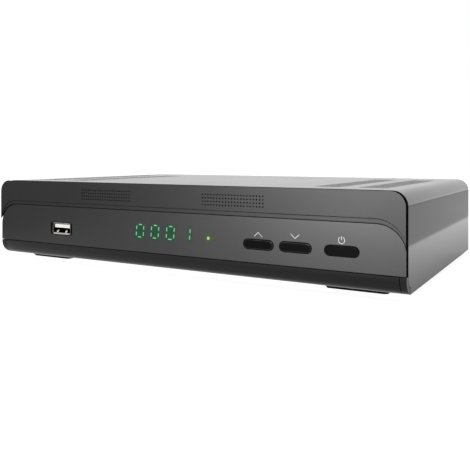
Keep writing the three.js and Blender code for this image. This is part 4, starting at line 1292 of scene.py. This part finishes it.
@dataclass
class DataSocket:
    """The front data socket: flared shell, tongue, contacts and springs."""

    edge: float = 0.0001
    spring_width: float = 0.0012
    spring_front: float = 0.0003
    spring_crest: float = 0.0009
    spring_reach: float = 0.0045
    spring_rise: float = 0.0017
    spring_foot: float = 0.0006
    spring_half_gap: float = 0.0032
    spring_shift: float = -0.0003
    shell_wall: float = 0.0004
    lip_inset: float = 0.0009
    lip_proud: float = 0.0001
    lip_lean: float = 0.0002
    lip_margin: float = 0.00005
    lip_height: float = 0.0006
    contact_count: int = 4
    contact_width: float = 0.0011
    contact_pitch: float = 0.0023
    contact_inset: float = 0.0012
    contact_rise: float = 0.00015

    def build(self) -> None:
        """Makes the socket's pieces."""
        # The shell is drawn in darkened metal: painted shade for the inside of the socket
        clad("usb_shell", "data_socket_shell", SHADED_SHELL_METAL, self.edge)
        clad("usb_tongue", "data_socket_tongue", TONGUE_CREAM, self.edge)
        self.lips()
        self.springs()
        self.contacts()

    def lips(self) -> None:
        """Makes the flared lips over and under the mouth."""
        low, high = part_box("usb_shell")
        left, right = low.x + self.lip_inset, high.x - self.lip_inset
        front, bend = low.y - self.lip_proud, low.y + self.lip_lean
        back = bend + self.lip_lean
        # The lip over the mouth is drawn in darkened metal as painted shade; the lip under it stays
        # bright
        for name, finish, edge, up in (
            ("data_socket_lip_over", SHADED_LIP_METAL, high.z, -1),
            ("data_socket_lip_under", BRIGHT_METAL, low.z, 1),
        ):
            start = edge + up * self.lip_margin
            end = start + up * self.lip_height
            shape = bmesh.new()
            strip(shape, [(front, start), (bend, end), (back, end), (back, start)], left, right)
            apply_thin(name, shape, finish)

    def springs(self) -> None:
        """Makes the two sprung fingers that rise from the shell's floor."""
        low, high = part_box("usb_shell")
        middle = (low.x + high.x) / 2 + self.spring_shift
        floor = low.z + self.shell_wall
        front = low.y + self.spring_front
        outline = [
            (front, floor),
            (front, floor + self.spring_foot),
            (front + self.spring_crest, floor + self.spring_rise),
            (front + self.spring_reach, floor),
        ]
        half = self.spring_width / 2
        shape = bmesh.new()
        for side in (-1, 1):
            x = middle + side * self.spring_half_gap
            strip(shape, outline, x - half, x + half)
        springs = from_shape("data_socket_springs", shape, BRIGHT_METAL, smooth=False)
        # Painted shade: the fingers' front faces are drawn dark, for the shade in the hole under their
        # tips
        black = add_finishes(springs, PAINTED_SHADE)[0]
        for polygon in springs.data.polygons:
            if polygon.normal.y < -SQUARELY:
                polygon.material_index = black
        keep(springs, Body.CASE, BRIGHT_METAL.slot)

    def contacts(self) -> None:
        """Makes the four contact strips under the tongue."""
        low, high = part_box("usb_tongue")
        length = high.y - low.y - 2 * self.contact_inset
        values = {
            "Columns": self.contact_count,
            "Rows": 1,
            "Across": self.contact_pitch,
            "Up": self.contact_pitch,
            "Size": (self.contact_width, length, 2 * self.contact_rise),
            "Place": ((low.x + high.x) / 2, (low.y + high.y) / 2, low.z),
        }
        grow("data_socket_contacts", Trees.bars(), values, CONTACT_METAL)


@dataclass
class Cover:
    """The painted cover and its three screws, whose cross recesses are dark prints of painted shade."""

    edge: float = 0.0002
    wall: float = 0.001
    slot_margin: float = 0.012
    screw_edge: float = 0.00015
    recess_length: float = 0.0034
    recess_width: float = 0.0007
    recess_rise: float = 0.00002

    def build(self) -> None:
        """Makes the cover and dresses its screws."""
        shell = merged_copy("top_cover", "cover_shell", COVER_PAINT)
        self.dress(shell)
        soften(shell, self.edge)
        keep(shell, Body.CASE, COVER_PAINT.slot, "top_cover")
        for side in ("left", "middle", "right"):
            self.screw(side)

    def dress(self, shell: bpy.types.Object) -> None:
        """Gives the sides their smoother paint, and paints shade in the dark finish on the front rim and
        the slots' walls.

        Args:
            shell: The cover, before its edges are rounded.
        """
        smooth, black = add_finishes(shell, COVER_SIDE, PAINTED_SHADE)
        low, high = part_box("top_cover")
        for polygon in shell.data.polygons:
            middle, normal = polygon.center, polygon.normal
            # Painted shade: the front rim and the walls of the top slots are drawn dark where shade falls
            rim = middle.y < low.y + self.wall / 2 and normal.y < -MOSTLY
            inward = min(high.x - abs(middle.x), high.y - middle.y) > self.slot_margin
            slot_wall = abs(normal.z) < MOSTLY and inward and middle.z > high.z - self.wall
            if rim or slot_wall:
                polygon.material_index = black
            elif abs(normal.x) > FLATLY and middle.z > low.z + self.wall:
                polygon.material_index = smooth

    def screw(self, side: str) -> None:
        """Makes one screw.

        Args:
            side: Which of the three it is.
        """
        node = "cover_screw_" + side
        low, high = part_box(node)
        clad(node, node + "_head", SCREW_ZINC, self.screw_edge)
        x, z = (low.x + high.x) / 2, (low.z + high.z) / 2
        # The cross recess is a thin dark print on the head: painted shade in place of a hollow
        shape = bmesh.new()
        half = self.recess_length / 2
        for across, up in ((half, 0.0), (0.0, half)):
            line = stroke((x - across, z - up), (x + across, z + up), self.recess_width)
            prism(shape, line, high.y, high.y + self.recess_rise)
        apply_thin(node + "_recess", shape, PAINTED_SHADE)


@dataclass
class Rear:
    """The rear panel with its sockets, the mains inlet and the rocker."""

    edge: float = 0.0002
    fine_edge: float = 0.0001
    barrel_edge: float = 0.00015
    socket_edge: float = 0.00025
    full_edge: float = 0.0003
    thread_pitch: float = 0.0008
    thread_rise: float = 0.00018
    thread_count: int = 7
    thread_inset: float = 0.0011
    slot_columns: int = 10
    slot_rows: int = 2
    slot_pitch: float = 0.00381
    slot_row_pitch: float = 0.0064
    slot_size: tuple[float, float, float] = (0.0026, 0.0001, 0.0011)
    mark_line: float = 0.0006
    mark_length: float = 0.0032
    mark_rise: float = 0.00003
    mark_steps: int = 24

    def build(self) -> None:
        """Makes the rear pieces."""
        copies = {
            "base_chassis": ("chassis_tray", CHASSIS_ZINC, self.edge),
            "euro_av_socket_tv": ("euro_socket_tv", BLACK_PLASTIC, self.socket_edge),
            "euro_av_socket_recorder": ("euro_socket_recorder", BLACK_PLASTIC, self.socket_edge),
            "digital_av_shell": ("digital_video_shell", BRIGHT_METAL, self.fine_edge),
            "digital_av_tongue": ("digital_video_tongue", BLACK_PLASTIC, self.fine_edge),
            "digital_audio_socket": ("digital_audio_barrel", ORANGE_PLASTIC, self.full_edge),
            "mains_inlet": ("mains_inlet_body", BLACK_PLASTIC, self.full_edge),
            "mains_pin_left": ("inlet_pin_left", BRIGHT_METAL, self.fine_edge),
            "mains_pin_right": ("inlet_pin_right", BRIGHT_METAL, self.fine_edge),
            "power_switch_frame": ("switch_surround", BLACK_PLASTIC, self.socket_edge),
            "aerial_in_nut": ("aerial_in_hexagon", BRIGHT_METAL, self.edge),
            "aerial_out_nut": ("aerial_out_hexagon", BRIGHT_METAL, self.edge),
            "aerial_in_socket": ("aerial_in_barrel", BRIGHT_METAL, self.barrel_edge),
            "aerial_out_socket": ("aerial_out_barrel", BRIGHT_METAL, self.barrel_edge),
        }
        for node, (name, finish, edge) in copies.items():
            clad(node, name, finish, edge)
        self.threads()
        self.contact_slots()
        self.rocker()

    def threads(self) -> None:
        """Makes the threads on the two aerial sockets."""
        tree = Trees.rings()
        for side in ("in", "out"):
            low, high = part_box(f"aerial_{side}_socket")
            start = high.y - self.thread_inset - self.thread_pitch * (self.thread_count - 1)
            values = {
                "Count": self.thread_count,
                "Pitch": self.thread_pitch,
                "Radius": (high.x - low.x) / 2,
                "Rise": self.thread_rise,
                "Place": ((low.x + high.x) / 2, start, (low.z + high.z) / 2),
            }
            grow(f"aerial_{side}_thread", tree, values, BRIGHT_METAL)

    def contact_slots(self) -> None:
        """Draws the two rows of contact slots in each video socket as thin dark bars: painted shade in
        place of holes.
        """
        tree = Trees.bars()
        for use in ("tv", "recorder"):
            low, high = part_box("euro_av_socket_" + use)
            values = {
                "Columns": self.slot_columns,
                "Rows": self.slot_rows,
                "Across": self.slot_pitch,
                "Up": self.slot_row_pitch,
                "Size": self.slot_size,
                "Place": ((low.x + high.x) / 2, high.y, (low.z + high.z) / 2),
            }
            grow("euro_contacts_" + use, tree, values, PAINTED_SHADE)

    def rocker(self) -> None:
        """Makes the rocker and its on and off marks."""
        paddle = merged_copy("power_rocker", "rocker_paddle", ROCKER_PLASTIC)
        largest = sorted(paddle.data.polygons, key=lambda polygon: -polygon.area)[:2]
        halves = [(half.center.copy(), half.normal.copy()) for half in largest]
        lower, upper = sorted(halves, key=lambda half: half[0].z)
        soften(paddle, self.edge)
        keep(paddle, Body.ROCKER, ROCKER_PLASTIC.slot, "power_rocker")
        reach = self.mark_length / 2
        bar = [stroke((0.0, -reach), (0.0, reach), self.mark_line)]
        corners = on_circle((0.0, 0.0), reach, self.mark_steps)
        ring = [stroke(a, b, self.mark_line) for a, b in zip(corners, corners[1:] + corners[:1])]
        self.rocker_mark("rocker_mark_off", ring, *lower)
        self.rocker_mark("rocker_mark_on", bar, *upper)

    def rocker_mark(self, name: str, lines: list[list[Point]], middle: Vector, normal: Vector) -> None:
        """Makes one mark on a half of the rocker.

        Args:
            name: The mark's name.
            lines: The outlines of its lines round its middle.
            middle: The middle of the half that it is on.
            normal: The way that half faces.
        """
        shape = bmesh.new()
        for line in lines:
            prism(shape, line, 0.0, self.mark_rise)
        turned = Vector((0.0, 1.0, 0.0)).rotation_difference(normal).to_matrix().to_4x4()
        bmesh.ops.transform(shape, matrix=Matrix.Translation(middle) @ turned, verts=shape.verts)
        apply_thin(name, shape, PRINT_WHITE, Body.ROCKER)


@dataclass
class Feet:
    """The four rubber feet."""

    edge: float = 0.0003

    def build(self) -> None:
        """Makes the feet."""
        for place in ("front_left", "front_right", "rear_left", "rear_right"):
            node = "foot_" + place
            clad(node, node + "_pad", FOOT_RUBBER, self.edge)


@dataclass
class Inside:
    """The boards and parts under the cover, seen through the slots."""

    finishes: tuple[tuple[Finish, tuple[str, ...]], ...] = (
        (BOARD_GREEN, ("front_board", "main_board")),
        (BOARD_TAN, ("power_board",)),
        (CLEAR_SHEET, ("insulating_sheet",)),
        (WINDING_YELLOW, ("transformer",)),
        (
            SLEEVE_BLACK,
            ("bulk_capacitor", "output_capacitor_front", "output_capacitor_rear", "switch_lead"),
        ),
        (RIBBON_GREY, ("power_lead", "front_ribbon")),
        (ALUMINIUM, ("processor_heat_sink", "power_heat_sink")),
        (BRIGHT_METAL, ("tuner_can",)),
        (BLACK_PLASTIC, ("main_processor", "memory_chip", "ir_receiver", "display_spacer")),
        (BLACK_PLASTIC, ("tact_switch_up", "tact_switch_down", "tact_switch_power")),
        (WHITE_PLASTIC, ("display_module", "status_light_pipe", "status_light")),
        (WHITE_PLASTIC, ("key_plunger_up", "key_plunger_down", "key_plunger_power")),
        (WHITE_PLASTIC, ("ribbon_socket_front", "ribbon_socket_main")),
    )

    def build(self) -> None:
        """Gives every inner node its finish."""
        for finish, nodes in self.finishes:
            for node in nodes:
                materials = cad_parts[node].data.materials
                materials.clear()
                materials.append(finish.material())
            log.info("%s: %s", finish.name, ", ".join(nodes))


# Studio


@dataclass(frozen=True)
class Lamp:
    """A soft rectangular lamp that points at a place."""

    name: str
    place: Place
    aim: Place
    width: float
    height: float
    power: float

    def hang(self) -> None:
        """Puts the lamp in the scene."""
        data = bpy.data.lights.new(self.name, "AREA")
        data.shape = "RECTANGLE"
        data.size = self.width
        data.size_y = self.height
        data.energy = self.power
        lamp = bpy.data.objects.new(self.name, data)
        toward = Vector(self.aim) - Vector(self.place)
        lamp.location = self.place
        lamp.rotation_euler = toward.to_track_quat("-Z", "Y").to_euler()
        bpy.context.scene.collection.objects.link(lamp)


@dataclass
class Studio:
    """Floor, lamps, pale surroundings and the photograph's camera."""

    floor_size: float = 6.0
    floor_color: float = 0.7
    floor_lift: float = 0.8
    # How white the floor shows in reflections by its x, which gives the case's side its two bands
    sheen: tuple[tuple[float, float], ...] = (
        (-0.18, 0.0),
        (-0.16, 1.0),
        (0.119, 1.0),
        (0.12, 0.15),
        (0.159, 0.88),
        (0.16, 0.12),
    )
    under_shade: float = 0.3
    world_strength: float = 0.3
    camera_place: Place = (0.183348, -0.329953, 0.059655)
    camera_turn: float = 29.726
    lens: float = 47.21
    sensor: float = 36.0
    image_size: float = 470.0
    horizon: float = 156.912
    clip_start: float = 0.01
    lamps: tuple[Lamp, ...] = (
        Lamp("front_softbox", (-0.3, -1.45, 0.16), (0.0, -0.05, 0.02), 0.5, 0.3, 21.0),
        Lamp("top_softbox", (0.2, 0.3, 1.6), (0.0, 0.0, 0.0), 1.6, 1.6, 12.0),
    )

    def build(self) -> None:
        """Sets up the studio."""
        self.floor()
        self.world()
        for lamp in self.lamps:
            lamp.hang()
        self.camera()
        bpy.context.scene.view_settings.view_transform = "Standard"

    @staticmethod
    def rays(canvas: Canvas, *names: str) -> list[Wire]:
        """Which kinds of ray look at a surface.

        Args:
            canvas: The material's canvas.
            names: The kinds, as the outputs of Light Path are called.

        Returns:
            1 or 0 for each.
        """
        path = canvas.node("ShaderNodeLightPath")
        return [Wire(canvas.tree, path.outputs[name]) for name in names]

    def floor(self) -> None:
        """Lays the pale floor, which keeps the object's shadow."""
        shape = bmesh.new()
        bmesh.ops.create_grid(shape, x_segments=1, y_segments=1, size=self.floor_size / 2)
        mesh = bpy.data.meshes.new("floor")
        shape.to_mesh(mesh)
        shape.free()
        made = bpy.data.materials.new("floor_paper")
        made.use_nodes = True
        made.node_tree.nodes.clear()
        canvas = Canvas(made.node_tree)
        seen, glossy = self.rays(canvas, "Is Camera Ray", "Is Glossy Ray")
        matt = canvas.wire("ShaderNodeBsdfDiffuse", {}, {"Color": (*(self.floor_color,) * 3, 1.0)})
        across, deep, _ = canvas.object_place()
        corner = CAD_BOX[1]
        under = across.absolute().less_than(corner[0]) * deep.absolute().less_than(corner[1])
        start, end = self.sheen[0][0], self.sheen[-1][0]
        stops = [((x - start) / (end - start), (level, level, level, 1.0)) for x, level in self.sheen]
        share = (across - start) / (end - start)
        sheen = canvas.wire("ShaderNodeValToRGB", {"stops": stops}, {"Fac": share}, "Color")
        lifted = seen + glossy * sheen * (1.0 - under * self.under_shade)
        glow = canvas.wire("ShaderNodeEmission", {}, {"Strength": self.floor_lift})
        lift = canvas.wire("ShaderNodeMixShader", {}, {"Fac": lifted, 2: glow})
        surface = canvas.wire("ShaderNodeAddShader", {}, {0: matt, 1: lift})
        canvas.node("ShaderNodeOutputMaterial", {}, {"Surface": surface})
        mesh.materials.append(made)
        floor = bpy.data.objects.new("floor", mesh)
        bpy.context.scene.collection.objects.link(floor)

    def world(self) -> None:
        """Makes the pale surroundings: white to the camera and in reflections, softer as light."""
        world = bpy.data.worlds.new("studio")
        bpy.context.scene.world = world
        world.use_nodes = True
        world.node_tree.nodes.clear()
        canvas = Canvas(world.node_tree)
        names = ("Is Camera Ray", "Is Glossy Ray", "Is Transmission Ray")
        seen, glossy, through = self.rays(canvas, *names)
        white = seen.at_least(glossy).at_least(through)
        color = (1.0, 1.0, 1.0, 1.0)
        soft, full = (
            canvas.wire("ShaderNodeBackground", {}, {"Color": color, "Strength": strength})
            for strength in (self.world_strength, 1.0)
        )
        background = canvas.wire("ShaderNodeMixShader", {}, {"Fac": white, 1: soft, 2: full})
        canvas.node("ShaderNodeOutputWorld", {}, {"Surface": background})

    def camera(self) -> None:
        """Places the camera as the photograph was taken."""
        data = bpy.data.cameras.new("camera")
        data.lens = self.lens
        data.sensor_width = self.sensor
        data.shift_y = -(self.image_size / 2 - self.horizon) / self.image_size
        data.clip_start = self.clip_start
        camera = bpy.data.objects.new("camera", data)
        camera.location = self.camera_place
        camera.rotation_euler = Euler((math.pi / 2, 0.0, math.radians(self.camera_turn)))
        bpy.context.scene.collection.objects.link(camera)
        bpy.context.scene.camera = camera


def main() -> None:
    """Builds the studio and every part of the receiver."""
    logging.basicConfig(level=logging.INFO, format="%(name)s %(message)s")
    front = (FrontMoulding(), Keys(), Display(), DataSocket())
    case = (Cover(), Rear(), Feet(), Inside())
    for part in (Studio(), *front, *case):
        part.build()
        log.info("built %s", type(part).__name__)


if __name__ == "__main__":
    main()
